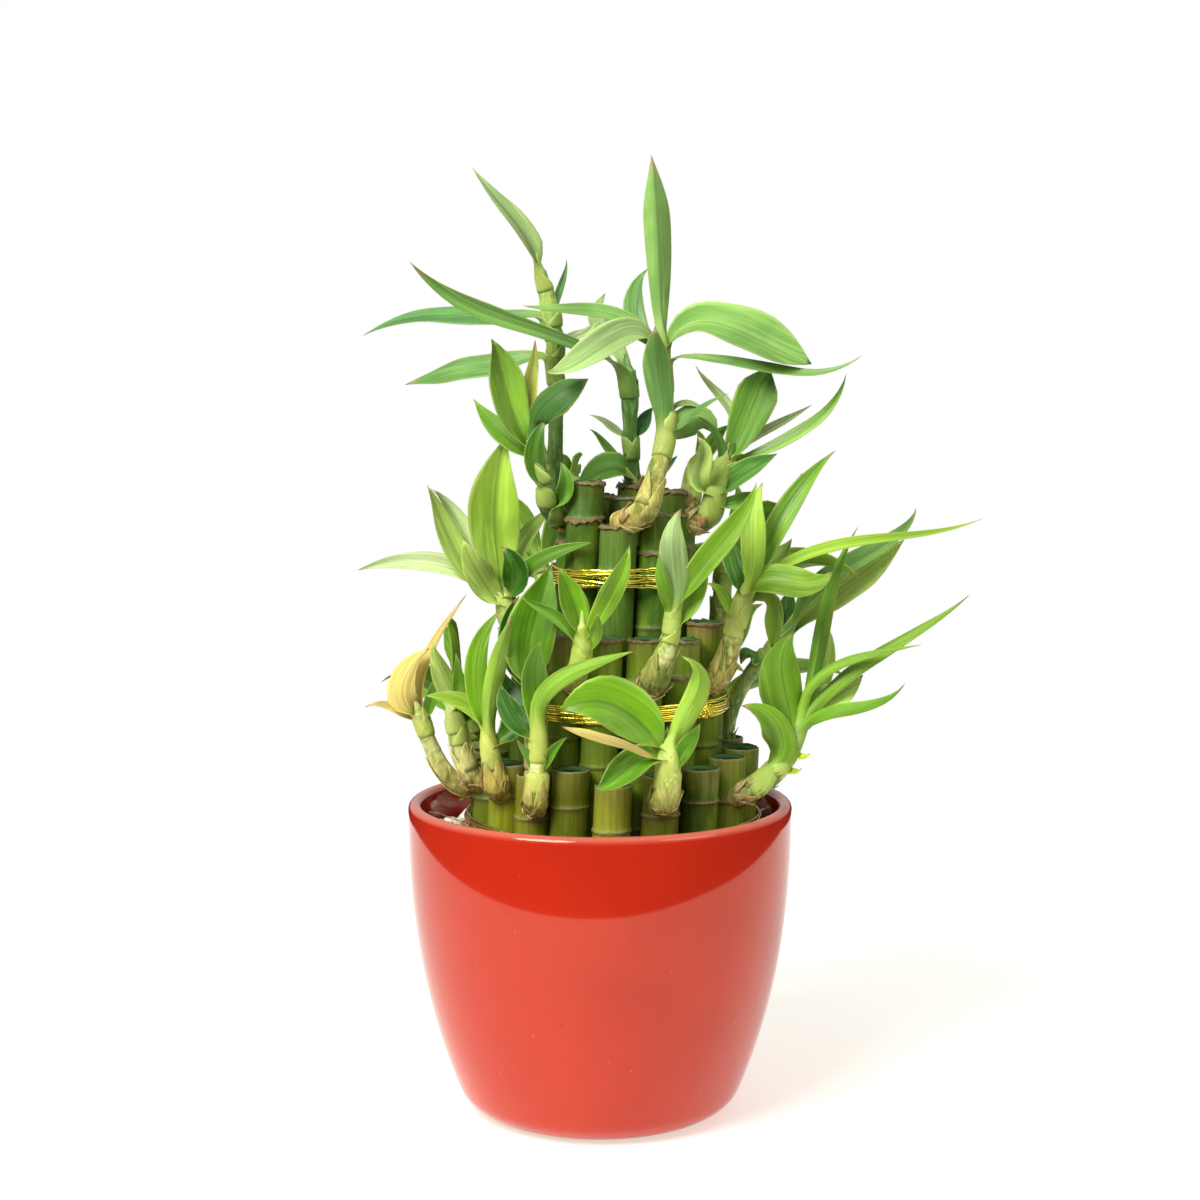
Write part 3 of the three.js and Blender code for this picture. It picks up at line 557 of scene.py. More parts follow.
def buildPot():
    half = pot["wall"] / 2
    lip = pot["height"] - half
    profile = []
    for i in range(9):
        a = math.pi / 2 * i / 8
        z = pot["corner"] * (1 - math.cos(a))
        profile.append((potOutside(z) - pot["corner"] * (1 - math.sin(a)), z))
    for i in range(1, 30):
        z = lerp(pot["corner"], lip, i / 30)
        profile.append((potOutside(z), z))
    for i in range(17):
        a = math.pi * i / 16
        profile.append((pot["rim"] - half + half * math.cos(a), lip + half * math.sin(a)))
    cornerTop = pot["floor"] + 6
    for i in range(1, 24):
        z = lerp(lip, cornerTop, i / 23)
        profile.append((potOutside(z) - pot["wall"], z))
    inner = potOutside(cornerTop) - pot["wall"]
    profile += [(inner - 2, pot["floor"] + 1.6), (inner - 6, pot["floor"])]
    skin = Skin(glaze)
    rings = []
    for r, z in profile:
        ring = []
        for a in spokes(pot["sides"]):
            # hand-thrown: the wall wanders a few hundredths of a millimetre
            grow = r + pot["wander"] * wander(a, 1.6, z * 0.03) - pot["inset"]
            ring.append(skin.point((grow * math.cos(a), grow * math.sin(a), z), pot["tone"]))
        rings.append(ring)
    skin.tube(rings, 0)
    skin.finish("glazed-pot", "pot", slotName="glaze")


bundle = {"x": 2.0, "foot": 50.0, "lean": 0.046, "caneRadius": 6.6, "wellFloor": 70.0, "fitGap": 0.35}

# a tier's canes by their angle and cut height; ragged, collar, bark and stain say how worn they are
tiers = {
    "inner": {
        # painted shade: the inner tier's tone is darkened for the canes round it that keep the light off
        "ring": 18.6, "seed": 11, "tone": (0.078, 0.175, 0.013),
        "ragged": 0.9, "collar": 1.4, "bark": 1.0, "stain": 0.35,
        "angles": [-9, 36, 81, 126, 171, 216, 261, 306],
        "tops": [215, 219, 218, 226, 228, 224, 223, 230],
    },
    "middle": {
        "ring": 32.2, "seed": 31, "tone": (0.21, 0.31, 0.020),
        "ragged": 0.8, "collar": 1.0, "bark": 0.6, "stain": 1.0,
        "angles": [15, 41, 67, 92, 118, 144, 170, 195, 221, 247, 272, 298, 324, 349],
        "tops": [176, 175, 180, 178, 177, 179, 176, 178, 177, 176, 178, 175, 177, 176],
    },
    "outer": {
        "ring": 45.8, "seed": 61, "tone": (0.13, 0.20, 0.014),
        "ragged": 0.3, "collar": 0.4, "bark": 0.0, "stain": 0.5,
        "angles": [
            -1, 20, 40, 59, 78, 97, 116, 135, 154, 173, 192, 211, 230, 249, 268, 286, 304, 322, 340,
        ],
        "tops": [
            127, 130, 131, 133, 134, 132, 133, 131, 134, 132, 133, 131, 132, 134, 131, 130, 131, 129, 132,
        ],
    },
    "core": {
        "ring": 0, "seed": 91, "tone": (0.06, 0.15, 0.03),
        "ragged": 0.9, "collar": 0.8, "bark": 1.0, "stain": 0.3,
        "angles": [0],
        "tops": [224],
    },
}

# canes that are lighter, darker or yellower than the rest of their tier
caneTones = {
    "outer_1": (0.30, 0.33, 0.030),
    "outer_2": (0.11, 0.12, 0.010),
    "outer_3": (0.07, 0.12, 0.010),
    "outer_4": (0.17, 0.24, 0.020),
    "outer_5": (0.18, 0.25, 0.020),
    "outer_17": (0.25, 0.27, 0.014),
    "outer_18": (0.19, 0.19, 0.012),
    "outer_19": (0.15, 0.18, 0.012),
    "inner_1": (0.12, 0.23, 0.030),
}

outerReach = tiers["outer"]["ring"] + bundle["caneRadius"]
caneSlot, pithSlot, stemSlot, paperSlot, leafSlot = range(5)  # finishes of a stalk, in their order


def drawer(seed):
    # the same plain draw as the part's own source uses
    state = seed * 7919 + 17

    def draw():
        nonlocal state
        state = state * 16807 % 2147483647
        return state / 2147483647

    draw()
    draw()
    return draw


def bundleAt(z):
    return bundle["x"] + bundle["lean"] * (z - bundle["foot"])


def caneSpot(name):
    tier, number = name.split("_")
    k = int(number) - 1
    facts = tiers[tier]
    return {
        "tier": tier, "ring": facts["ring"], "angle": math.radians(facts["angles"][k]),
        "top": facts["tops"][k], "seed": facts["seed"] + k, "tone": caneTones.get(name, facts["tone"]),
    }


def caneAxis(spot, z):
    return Vector((
        bundleAt(z) + spot["ring"] * math.sin(spot["angle"]),
        -spot["ring"] * math.cos(spot["angle"]),
        z,
    ))


collarShape = {"sides": 40, "rows": (0.0, 0.35, 0.7, 1.0), "stand": 0.30, "thick": 0.34}


def addCollar(skin, spot, z, amount, rng):
    # torn remains of an old sheath round a node, hanging down by the amount given
    seed = rng.random() * 70
    outs, backs = [], []
    for share in collarShape["rows"]:
        out, back = [], []
        for a in spokes(collarShape["sides"]):
            drop = amount * (1.3 + 1.6 * wander(a, 4.5, seed)) * share
            far = bundle["caneRadius"] + collarShape["stand"]
            far += amount * (0.35 + 0.6 * wander(a, 2, seed + 30)) * share
            p = caneAxis(spot, z + 0.5 - drop)
            for side, reach in ((out, far), (back, far - collarShape["thick"])):
                q = (p.x + reach * math.cos(a), p.y + reach * math.sin(a), p.z)
                side.append(skin.point(q, paperLook["collar"], run=share))
        outs.append(out)
        backs.append(back)
    skin.tube(outs + backs[::-1], paperSlot, closed=True)


caneShape = {
    "sides": 28, "flute": 0.012, "nodeStep": 25.0, "swell": 0.38, "shaftFrom": 93, "shaftStep": 4.5,
    "nodeRows": (-2.4, -1.5, -0.9, -0.5, -0.22, 0.0, 0.22, 0.5, 0.9, 1.5, 2.6),
    "lowestNode": 96, "cutRim": 1.3, "cutDepth": 1.4,
}


def addCane(skin, name):
    spot = caneSpot(name)
    facts = tiers[spot["tier"]]
    top, radius = spot["top"], bundle["caneRadius"]
    draw = drawer(spot["seed"])
    nodes = [top - 11 - 6 * draw()]
    phase = draw()
    rng = random.Random(spot["seed"])
    tone = jitter(spot["tone"], rng, 0.16)
    while nodes[-1] - caneShape["nodeStep"] > caneShape["lowestNode"]:
        nodes.append(nodes[-1] - caneShape["nodeStep"] * (0.9 + 0.25 * rng.random()))
    collar = facts["collar"] * (0.7 + 0.6 * rng.random())
    stained = facts["stain"] * (0.6 + 0.5 * rng.random())

    def hoop(z, r, rough=0.0, **marks):
        p = caneAxis(spot, z)
        made = []
        for turn in spokes(caneShape["sides"]):
            a = phase + turn
            swell = ringMark = scarMark = 0.0
            for k, n in enumerate(nodes):
                d = z - n
                if abs(d) < 4:
                    wave = wander(a, 2.2, spot["seed"] + k * 7)
                    swell += caneShape["swell"] * math.exp(-(d / 0.8) ** 2)
                    ringMark = max(ringMark, math.exp(-((d - 0.15 - 0.3 * wave) / 0.24) ** 2))
                    scarMark = max(scarMark, math.exp(-((d + 0.75) / (0.35 + 0.4 * wave)) ** 2))
            grow = r * (1 + caneShape["flute"] * math.cos(2 * a + phase * 5)) + swell
            drift = rough * wander(a, 3.1, spot["seed"] * 1.7)
            q = (p.x + grow * math.cos(a), p.y + grow * math.sin(a), z + drift)
            told = {"run": top - z, "age": stained, "ring": ringMark, "scar": scarMark, "own": facts["bark"]}
            made.append(skin.point(q, tone, **{**told, **marks}))
        return made

    heights = [bundle["wellFloor"] + bundle["fitGap"], 84, top - 2.2, top - 1.1, top - 0.45]
    shaft = top - 4 - caneShape["shaftFrom"]
    count = max(1, round(shaft / caneShape["shaftStep"]))
    heights += [caneShape["shaftFrom"] + i * shaft / count for i in range(count + 1)]
    heights += [n + d for n in nodes for d in caneShape["nodeRows"]]
    rings = [hoop(z, radius) for z in sorted({round(z, 2) for z in heights if z <= top - 0.45})]
    rough = facts["ragged"]
    rings += [hoop(top - 0.12, radius - 0.12, rough), hoop(top, radius - 0.5, rough)]
    # the cut: a thin rim of skin, then the sunken pith
    rim, depth = caneShape["cutRim"], caneShape["cutDepth"]
    cut = [rings[-1]]
    for z, r, edge in (
        (top - 0.1, radius - rim * 0.8, 1.0),
        (top - 0.9, radius - rim, 0.95),
        (top - depth, radius * 0.62, 0.4),
        (top - depth * 0.85, radius * 0.25, 0.0),
    ):
        cut.append(hoop(z, r, rough * 0.6, ring=edge))
    first = len(skin.faces)
    skin.band(rings, caneSlot)
    skin.face(tuple(reversed(rings[0])), caneSlot)
    skin.band(cut, pithSlot)
    skin.face(tuple(cut[-1]), pithSlot)
    skin.outward(first)
    addCollar(skin, spot, nodes[0], collar, rng)
    if facts["bark"] > 0.5:
        addCollar(skin, spot, top - 0.9, 0.55 * collar, rng)


# A stem row is x, y, z and radius. A leaf row holds four points of its midrib from the stem to
# the tip, its width, where along it is widest, its turn in degrees and its tint. Tones are the
# stem's, at its foot and its top. Mottle is how patchy and ringed a stem is, 1 unless given, and
# cool lifts the blue of the leaves.
shoots = {
    "top_left": {
        "cane": "inner_7", "tones": ((0.04, 0.15, 0.03), (0.40, 0.58, 0.12)),
        "mottle": 0.1, "cool": 0.06,
        "stem": [
            (-9, 3, 215, 3.6), (-16, 2, 225, 3.6), (-16, 2, 248, 3.3), (-16, 0, 275, 3.9),
            (-18, -1, 291, 4.4), (-21, -2, 304, 2.6),
        ],
        "leaves": [
            ((-21, -2, 303), (-27, -4, 317), (-35, -7, 327), (-45, -10, 340), 9.3, 0.36, 15, "pale"),
            ((-18, -1, 289), (-15, 1, 297), (-13, 3, 303), (-12, 5, 309), 3.1, 0.4, 40, "deep"),
            ((-17, -1, 285), (-37, 6, 287), (-58, 15, 289), (-88, 25, 282), 9.3, 0.42, 0, "deep"),
            ((-16, 0, 271), (-36, 5, 271), (-54, 12, 268), (-72, 20, 264), 11.3, 0.5, 0, "mid"),
            ((-16, 0, 278), (-12, 5, 280), (-7, 11, 282), (-1, 18, 288), 4.7, 0.5, 0, "milky"),
        ],
    },
    "left": {
        "cane": "inner_7", "tones": ((0.05, 0.16, 0.03), (0.12, 0.30, 0.06)),
        "mottle": 0.15, "cool": 0.015,
        "stem": [
            (-9, 3, 212, 4.2), (-18, -10, 220, 4.1), (-19, -13, 229, 4.2), (-22, -15, 239, 3.8),
            (-24, -15, 248, 2.2),
        ],
        "leaves": [
            ((-22, -15, 239), (-29, -16, 249), (-33, -17, 263), (-38, -19, 280), 13.8, 0.6, 0, "fresh"),
            ((-24, -15, 247), (-25, -13, 257), (-24, -10, 267), (-23, -7, 280), 5.7, 0.5, 0, "yellow"),
            ((-23, -15, 244), (-21, -21, 255), (-14, -24, 261), (-4, -23, 266), 13.8, 0.62, 0, "dark"),
            ((-21, -14, 237), (-33, -12, 245), (-39, -10, 251), (-45, -8, 259), 8.4, 0.45, 0, "mid"),
            ((-19, -12, 227), (-23, -18, 237), (-22, -20, 245), (-19, -19, 252), 8.1, 0.5, 0, "deep"),
            ((-18, -10, 220), (-13, -15, 224), (-12, -18, 230), (-14, -16, 237), 6.9, 0.45, 0, "deep"),
        ],
    },
    "back_middle": {
        "cane": "inner_5", "tones": ((0.06, 0.17, 0.03), (0.13, 0.31, 0.06)),
        "mottle": 0.1, "cool": 0.04,
        "stem": [
            (13, 18, 218, 3.8), (12, 17, 233, 3.2), (11, 16, 248, 3.2), (11, 15, 258, 4.2),
            (10, 14, 269, 4.2),
        ],
        "leaves": [
            ((11, 15, 264), (-10, -4, 278), (-37, -26, 287), (-64, -47, 305), 9.1, 0.62, 10, "mid"),
            ((10, 14, 266), (6, 18, 277), (1, 22, 284), (2, 28, 298), 8.7, 0.65, 0, "pale"),
            ((11, 16, 244), (7, 17, 246), (2, 18, 250), (-4, 20, 253), 3.6, 0.4, 0, "milky"),
            ((12, 17, 233), (5, 20, 238), (1, 19, 243), (-4, 14, 248), 3.6, 0.4, 0, "fresh"),
            ((12, 17, 228), (7, 14, 233), (0, 10, 232), (-8, 5, 227), 12.7, 0.45, 0, "mid"),
            ((11, 16, 244), (15, 18, 248), (17, 20, 252), (20, 22, 256), 6, 0.4, 0, "dark"),
            ((13, 18, 226), (20, 20, 230), (25, 23, 234), (29, 26, 238), 5.2, 0.4, 0, "dark"),
        ],
    },
    "right_main": {
        "cane": "inner_1", "tones": ((0.44, 0.38, 0.055), (0.23, 0.36, 0.07)),
        "mottle": 0.6, "cool": 0.065,
        "stem": [
            (7, -18, 215, 5.4), (15, -27, 220, 5.2), (19, -23, 231, 4.3), (23, -17, 245, 3.8),
            (23, -15, 259, 3.8), (21, -13, 278, 3.4),
        ],
        "leaves": [
            ((21, -13, 276), (21, -12, 301), (20, -12, 323), (18, -11, 344), 10.3, 0.66, 0, "fresh"),
            ((21, -13, 275), (13, -7, 285), (12, -4, 295), (17, -5, 305), 8, 0.5, 0, "mid"),
            ((23, -17, 245), (22, -20, 258), (20, -24, 271), (19, -29, 284), 10.7, 0.6, 0, "mid"),
            ((22, -14, 272), (32, -15, 285), (54, -18, 280), (74, -20, 271), 18, 0.66, 5, "fresh"),
            ((22, -14, 269), (43, -17, 272), (66, -21, 268), (91, -26, 274), 5, 0.5, 0, "fresh"),
            ((21, -13, 276), (8, -12, 287), (-10, -17, 290), (-27, -27, 291), 6.5, 0.4, 0, "fresh"),
            ((21, -13, 275), (14, -17, 281), (0, -24, 276), (-19, -31, 268), 13.8, 0.5, 0, "pale"),
            ((23, -17, 244), (32, -19, 253), (39, -23, 258), (45, -27, 261), 3, 0.4, 0, "mid"),
            ((23, -16, 253), (28, -14, 257), (33, -12, 257), (37, -10, 255), 2.7, 0.5, 0, "pale"),
            ((23, -18, 244), (28, -16, 249), (35, -13, 252), (41, -10, 244), 11.4, 0.5, 30, "fresh"),
        ],
    },
    "upper_right": {
        "cane": "inner_3", "tones": ((0.06, 0.17, 0.015), (0.11, 0.26, 0.03)),
        "mottle": 0.2, "cool": 0.035,
        "stem": [
            (28, -3, 212, 5.2), (38, -7, 217, 5.2), (41, -9, 224, 4.2), (43, -9, 233, 4.2),
            (47, -9, 242, 3),
        ],
        "leaves": [
            ((44, -9, 234), (50, -10, 246), (55, -11, 259), (60, -12, 270), 16.2, 0.74, 0, "mid"),
            ((43, -9, 233), (61, -12, 242), (77, -16, 252), (86, -21, 268), 5, 0.5, 0, "fresh"),
            ((45, -9, 238), (55, -7, 245), (66, -5, 251), (76, -3, 257), 4.2, 0.45, 0, "milky"),
            ((41, -9, 224), (48, -12, 230), (55, -17, 235), (62, -23, 240), 10, 0.45, 0, "deep"),
            ((42, -9, 227), (44, -11, 237), (41, -15, 247), (34, -19, 253), 3.9, 0.4, 0, "deep"),
            ((41, -9, 223), (35, -12, 230), (36, -16, 237), (34, -21, 246), 9.6, 0.5, 0, "lime"),
            ((46, -9, 240), (46, -7, 256), (40, -5, 263), (34, -3, 271), 3.9, 0.45, 0, "milky"),
            ((40, -8, 221), (46, -9, 221), (52, -10, 223), (57, -12, 227), 6.9, 0.45, 0, "mid"),
        ],
    },
    "left_cluster": {
        "cane": "middle_11", "tones": ((0.34, 0.42, 0.08), (0.46, 0.60, 0.12)),
        "stem": [
            (-25, -1, 165, 4.2), (-30, -8, 173, 4.2), (-33, -10, 183, 4.4), (-34, -10, 192, 3),
        ],
        "leaves": [
            ((-34, -10, 190), (-37, -9, 206), (-37, -9, 227), (-33, -8, 246), 19.2, 0.5, 0, "bright"),
            ((-33, -10, 188), (-47, -8, 197), (-55, -11, 212), (-61, -18, 229), 10, 0.45, 0, "lime"),
            ((-34, -10, 190), (-45, 0, 202), (-53, 3, 217), (-61, -2, 227), 8.5, 0.5, 0, "milky"),
            ((-33, -10, 185), (-53, -7, 198), (-70, -3, 200), (-88, 2, 197), 8.8, 0.5, 0, "milky"),
            ((-33, -10, 184), (-39, -13, 190), (-44, -18, 199), (-48, -23, 210), 11.2, 0.5, 0, "lime"),
            ((-34, -10, 188), (-30, -16, 195), (-31, -18, 202), (-35, -17, 207), 10, 0.5, 0, "dark"),
            ((-34, -10, 189), (-30, -6, 203), (-25, -2, 211), (-17, 4, 221), 7.7, 0.45, 0, "lime"),
            ((-33, -10, 183), (-28, -13, 196), (-17, -17, 204), (-2, -22, 209), 6.5, 0.45, 0, "deep"),
        ],
    },
    "middle_front": {
        "cane": "middle_13", "tones": ((0.36, 0.50, 0.05), (0.36, 0.52, 0.05)),
        "mottle": 0.5,
        "stem": [
            (-12, -26, 158, 4.4), (-8, -41, 165, 4.2), (-6, -43, 173, 3.8), (-6, -43, 181, 2.6),
        ],
        "leaves": [
            ((-6, -43, 173), (-12, -44, 182), (-19, -45, 187), (-27, -47, 192), 4.8, 0.45, 0, "deep"),
            ((-6, -43, 177), (-8, -43, 186), (-11, -44, 194), (-14, -45, 202), 9.9, 0.5, 0, "mid"),
            ((-6, -43, 175), (1, -44, 187), (6, -47, 197), (10, -49, 210), 8.5, 0.55, 0, "fresh"),
            ((-6, -43, 172), (-2, -45, 177), (-1, -48, 182), (-1, -51, 187), 5.1, 0.5, 0, "fresh"),
        ],
    },
    "left_big": {
        "cane": "outer_18", "tones": ((0.30, 0.42, 0.08), (0.20, 0.38, 0.06)),
        "stem": [
            (-23, -36, 125, 4.6), (-22, -40, 137, 4.2), (-22, -40, 150, 4), (-22, -39, 158, 3),
        ],
        "leaves": [
            ((-22, -39, 156), (-25, -38, 171), (-22, -37, 186), (-17, -35, 202), 18.5, 0.48, 0, "deep"),
            ((-22, -40, 151), (-31, -34, 155), (-34, -32, 160), (-34, -34, 167), 8.9, 0.5, 0, "dark"),
            ((-22, -39, 156), (-29, -33, 169), (-31, -30, 179), (-28, -31, 191), 11.1, 0.5, 0, "dark"),
        ],
    },
    "middle_bulb": {
        "cane": "middle_1", "tones": ((0.16, 0.24, 0.012), (0.27, 0.42, 0.04)),
        "stem": [
            (15, -31, 158, 5.4), (18, -39, 161, 6), (21, -43, 169, 5), (24, -43, 178, 3.5),
            (25, -43, 188, 3),
        ],
        "leaves": [
            ((25, -43, 186), (26, -46, 198), (25, -45, 209), (28, -39, 222), 10.3, 0.5, 0, "pale"),
            ((25, -43, 184), (23, -48, 192), (21, -50, 199), (20, -48, 207), 5.5, 0.5, 0, "mid"),
            ((25, -43, 185), (35, -44, 202), (45, -46, 215), (53, -48, 231), 9.6, 0.5, 0, "fresh"),
            ((24, -43, 180), (31, -41, 190), (34, -39, 201), (36, -37, 209), 8.8, 0.5, 0, "fresh"),
        ],
    },
    "middle_right": {
        "cane": "middle_3", "tones": ((0.50, 0.38, 0.075), (0.42, 0.52, 0.12)),
        "stem": [
            (36, -13, 156, 5), (41, -21, 161, 5.3), (45, -24, 169, 4.4), (48, -25, 181, 4.2),
            (51, -25, 192, 3.2),
        ],
        "leaves": [
            ((51, -25, 190), (53, -32, 205), (53, -32, 217), (57, -23, 230), 9, 0.5, 0, "bright"),
            ((50, -25, 189), (60, -31, 196), (71, -34, 195), (81, -33, 200), 12.4, 0.5, 0, "fresh"),
            ((50, -25, 189), (60, -23, 210), (69, -20, 225), (83, -17, 241), 9, 0.5, 0, "mid"),
            ((51, -25, 190), (60, -13, 208), (65, -9, 219), (72, -11, 233), 6.8, 0.5, 0, "dark"),
            ((48, -25, 181), (44, -26, 189), (41, -27, 193), (37, -29, 195), 4.5, 0.45, 0, "fresh"),
            ((50, -25, 189), (58, -16, 198), (64, -9, 203), (69, -5, 209), 9.8, 0.5, 0, "bright"),
            ((50, -25, 188), (72, -22, 204), (102, -19, 210), (136, -15, 217), 4.9, 0.35, 0, "bright"),
            ((50, -25, 189), (47, -27, 200), (45, -24, 206), (42, -17, 213), 7.5, 0.5, 0, "dark"),
            ((50, -25, 187), (58, -23, 189), (61, -20, 182), (61, -17, 171), 7.9, 0.5, 0, "bright"),
        ],
    },
    "right_back": {
        "cane": "outer_7", "tones": ((0.10, 0.22, 0.03), (0.14, 0.34, 0.05)),
        "mottle": 0.4,
        "stem": [
            (46, 20, 122, 4.4), (46, 20, 132, 4.2), (50, 20, 146, 3.8), (56, 18, 157, 3.6),
            (63, 17, 166, 3.4), (69, 16, 173, 3),
        ],
        "leaves": [
            ((69, 16, 173), (84, 17, 185), (99, 18, 196), (113, 20, 207), 14.3, 0.55, 0, "lime"),
            ((69, 16, 173), (92, 12, 198), (108, 18, 207), (119, 32, 218), 8.8, 0.4, 0, "grey"),
            ((67, 16, 171), (69, 19, 176), (70, 23, 182), (73, 28, 187), 7.2, 0.5, 0, "dark"),
            ((62, 17, 165), (59, 16, 165), (56, 15, 166), (52, 13, 161), 12, 0.5, 30, "dark"),
        ],
    },
    "right_front": {
        "cane": "outer_4", "tones": ((0.12, 0.22, 0.025), (0.18, 0.38, 0.05)),
        "mottle": 0.4,
        "stem": [
            (44, -24, 118, 5.2), (51, -29, 121, 4.8), (59, -27, 126, 4.4), (66, -23, 133, 4),
            (71, -20, 143, 3),
        ],
        "leaves": [
            ((68, -22, 137), (67, -23, 149), (64, -25, 163), (68, -27, 178), 17.4, 0.5, 0, "mid"),
            ((59, -27, 126), (64, -29, 140), (58, -32, 150), (49, -36, 153), 12.4, 0.5, 0, "mid"),
            ((70, -21, 141), (85, -22, 160), (107, -23, 175), (130, -25, 191), 5.7, 0.4, 0, "fresh"),
            ((70, -21, 141), (82, -24, 165), (98, -28, 171), (112, -33, 174), 4.2, 0.4, 0, "fresh"),
            ((70, -20, 142), (77, -18, 167), (82, -15, 191), (92, -12, 214), 6.1, 0.45, 0, "deep"),
            ((70, -20, 142), (78, -10, 154), (82, -7, 167), (80, -11, 180), 7.2, 0.5, 0, "lime"),
            ((69, -21, 140), (79, -27, 149), (92, -30, 152), (107, -29, 160), 5.3, 0.4, 0, "mid"),
            ((70, -20, 142), (79, -18, 150), (87, -16, 155), (94, -14, 161), 11.4, 0.5, 0, "lime"),
            ((67, -22, 136), (70, -23, 133), (72, -26, 133), (74, -28, 135), 3.4, 0.4, 0, "yellow"),
            ((64, -24, 131), (67, -25, 128), (69, -28, 128), (71, -30, 130), 3.4, 0.4, 0, "yellow"),
        ],
    },
    "dry_left": {
        "cane": "outer_15", "tones": ((0.78, 0.64, 0.20), (0.26, 0.36, 0.06)),
        "mottle": 0.6,
        "stem": [
            (-41, 2, 119, 5), (-50, -5, 119, 4.2), (-56, -8, 125, 3.9), (-61, -8, 134, 3.7),
            (-65, -8, 146, 3.4),
        ],
        "leaves": [
            ((-65, -8, 145), (-71, -8, 152), (-69, -9, 161), (-61, -10, 170), 11.6, 0.36, 0, "dry"),
            ((-64, -8, 144), (-65, -7, 157), (-60, -5, 171), (-48, -3, 189), 3.9, 0.35, 0, "dry"),
            ((-64, -8, 143), (-71, -7, 146), (-78, -7, 149), (-85, -6, 148), 3.9, 0.4, 0, "dry"),
            ((-64, -8, 142), (-61, -9, 150), (-59, -11, 156), (-57, -13, 163), 5, 0.4, 0, "deep"),
        ],
    },
    "left_second": {
        "cane": "outer_16", "tones": ((0.90, 0.85, 0.32), (0.17, 0.31, 0.05)),
        "mottle": 0.5,
        "stem": [
            (-39, -13, 120, 4.8), (-45, -18, 124, 4.2), (-49, -19, 133, 4), (-51, -19, 142, 4.4),
            (-53, -18, 149, 3.2),
        ],
        "leaves": [
            ((-52, -18, 147), (-53, -19, 155), (-56, -21, 163), (-59, -23, 174), 9.1, 0.36, 0, "lime"),
            ((-52, -18, 147), (-50, -23, 157), (-50, -24, 165), (-51, -22, 170), 4.6, 0.45, 0, "deep"),
            ((-52, -18, 147), (-48, -16, 152), (-46, -19, 159), (-46, -26, 167), 7.6, 0.5, 0, "bright"),
            ((-51, -19, 142), (-46, -16, 146), (-44, -13, 155), (-45, -9, 164), 8.4, 0.5, 0, "dark"),
        ],
    },
    "left_third": {
        "cane": "outer_17", "tones": ((0.64, 0.52, 0.09), (0.46, 0.54, 0.11)),
        "stem": [
            (-33, -26, 120, 5.2), (-36, -33, 124, 5), (-38, -34, 134, 3.8), (-39, -33, 142, 2.8),
        ],
        "leaves": [
            ((-39, -33, 140), (-43, -29, 150), (-51, -29, 154), (-61, -33, 156), 7.5, 0.45, 0, "bright"),
            ((-39, -33, 141), (-43, -32, 157), (-42, -31, 173), (-34, -29, 186), 8.2, 0.5, 0, "mid"),
            ((-39, -33, 142), (-38, -37, 155), (-35, -42, 170), (-30, -48, 186), 7.1, 0.5, 0, "bright"),
            ((-38, -34, 137), (-31, -32, 144), (-29, -30, 154), (-31, -28, 164), 9.7, 0.5, 0, "dark"),
        ],
    },
    "front_left": {
        "cane": "outer_18", "tones": ((0.56, 0.50, 0.09), (0.52, 0.64, 0.10)),
        "stem": [
            (-23, -36, 118, 5), (-22, -50, 123, 4.8), (-21, -50, 135, 4), (-21, -49, 147, 3),
        ],
        "leaves": [
            ((-21, -49, 144), (-20, -51, 159), (-5, -55, 170), (12, -59, 175), 7.7, 0.4, 0, "fresh"),
            ((-21, -49, 145), (-22, -46, 156), (-22, -48, 167), (-20, -54, 178), 9.8, 0.5, 0, "deep"),
            ((-21, -50, 131), (-24, -51, 137), (-26, -52, 140), (-28, -54, 144), 4, 0.4, 0, "grey"),
            ((-21, -50, 131), (-17, -51, 138), (-14, -52, 142), (-11, -54, 145), 4, 0.4, 0, "deep"),
            ((-21, -49, 142), (-27, -47, 147), (-32, -45, 154), (-34, -43, 162), 8.7, 0.5, 0, "dark"),
        ],
    },
    "front_right": {
        "cane": "outer_2", "tones": ((0.52, 0.58, 0.12), (0.46, 0.60, 0.12)),
        "stem": [
            (21, -43, 119, 6.4), (22, -52, 124, 6), (23, -53, 132, 5), (23, -50, 141, 3.6),
        ],
        "leaves": [
            ((23, -51, 137), (13, -52, 150), (1, -55, 157), (-14, -57, 154), 19.6, 0.56, -8, "mid"),
            ((23, -51, 139), (29, -52, 152), (34, -53, 166), (27, -55, 173), 8.4, 0.5, 0, "bright"),
            ((23, -52, 135), (16, -55, 138), (8, -59, 134), (-2, -64, 129), 11.6, 0.5, -15, "deep"),
            ((23, -53, 132), (28, -53, 139), (31, -54, 144), (34, -55, 150), 6.2, 0.5, 0, "deep"),
            ((23, -53, 133), (11, -61, 142), (-2, -67, 147), (-13, -69, 151), 4.3, 0.72, 0, "dry"),
        ],
    },
}

frontFace = (0.0, -0.8, 0.6)  # the way that the upper sides of leaves turn
fullTurn = 6.28  # radians, close enough for a chance phase

# Tints hold painted light and shade besides the leaves' own greens: lighter ones such as lime and bright
# lift leaves that lie in shade, darker ones such as deep and dark tone down leaves that the lamps light
# strongly.
tints = {
    "lime": (0.45, 0.64, 0.13),
    "bright": (0.30, 0.51, 0.045),
    "fresh": (0.205, 0.41, 0.024),
    "mid": (0.143, 0.335, 0.010),
    "deep": (0.092, 0.25, 0.007),
    "dark": (0.026, 0.13, 0.004),
    "pale": (0.32, 0.48, 0.16),
    "milky": (0.49, 0.63, 0.27),
    "grey": (0.15, 0.31, 0.06),
    "yellow": (0.55, 0.60, 0.07),
    "dry": (0.62, 0.49, 0.14),
}


def midrib(points):
    # smooth line through four points, spaced by the length between them
    at = [0.0]
    for a, b in zip(points, points[1:]):
        at.append(at[-1] + (b - a).length)

    def line(t):
        s = t * at[3]
        p = Vector((0, 0, 0))
        for i in range(4):
            weight = 1.0
            for j in range(4):
                if j != i:
                    weight *= (s - at[j]) / (at[i] - at[j])
            p += points[i] * weight
        return p

    return line, at[3]


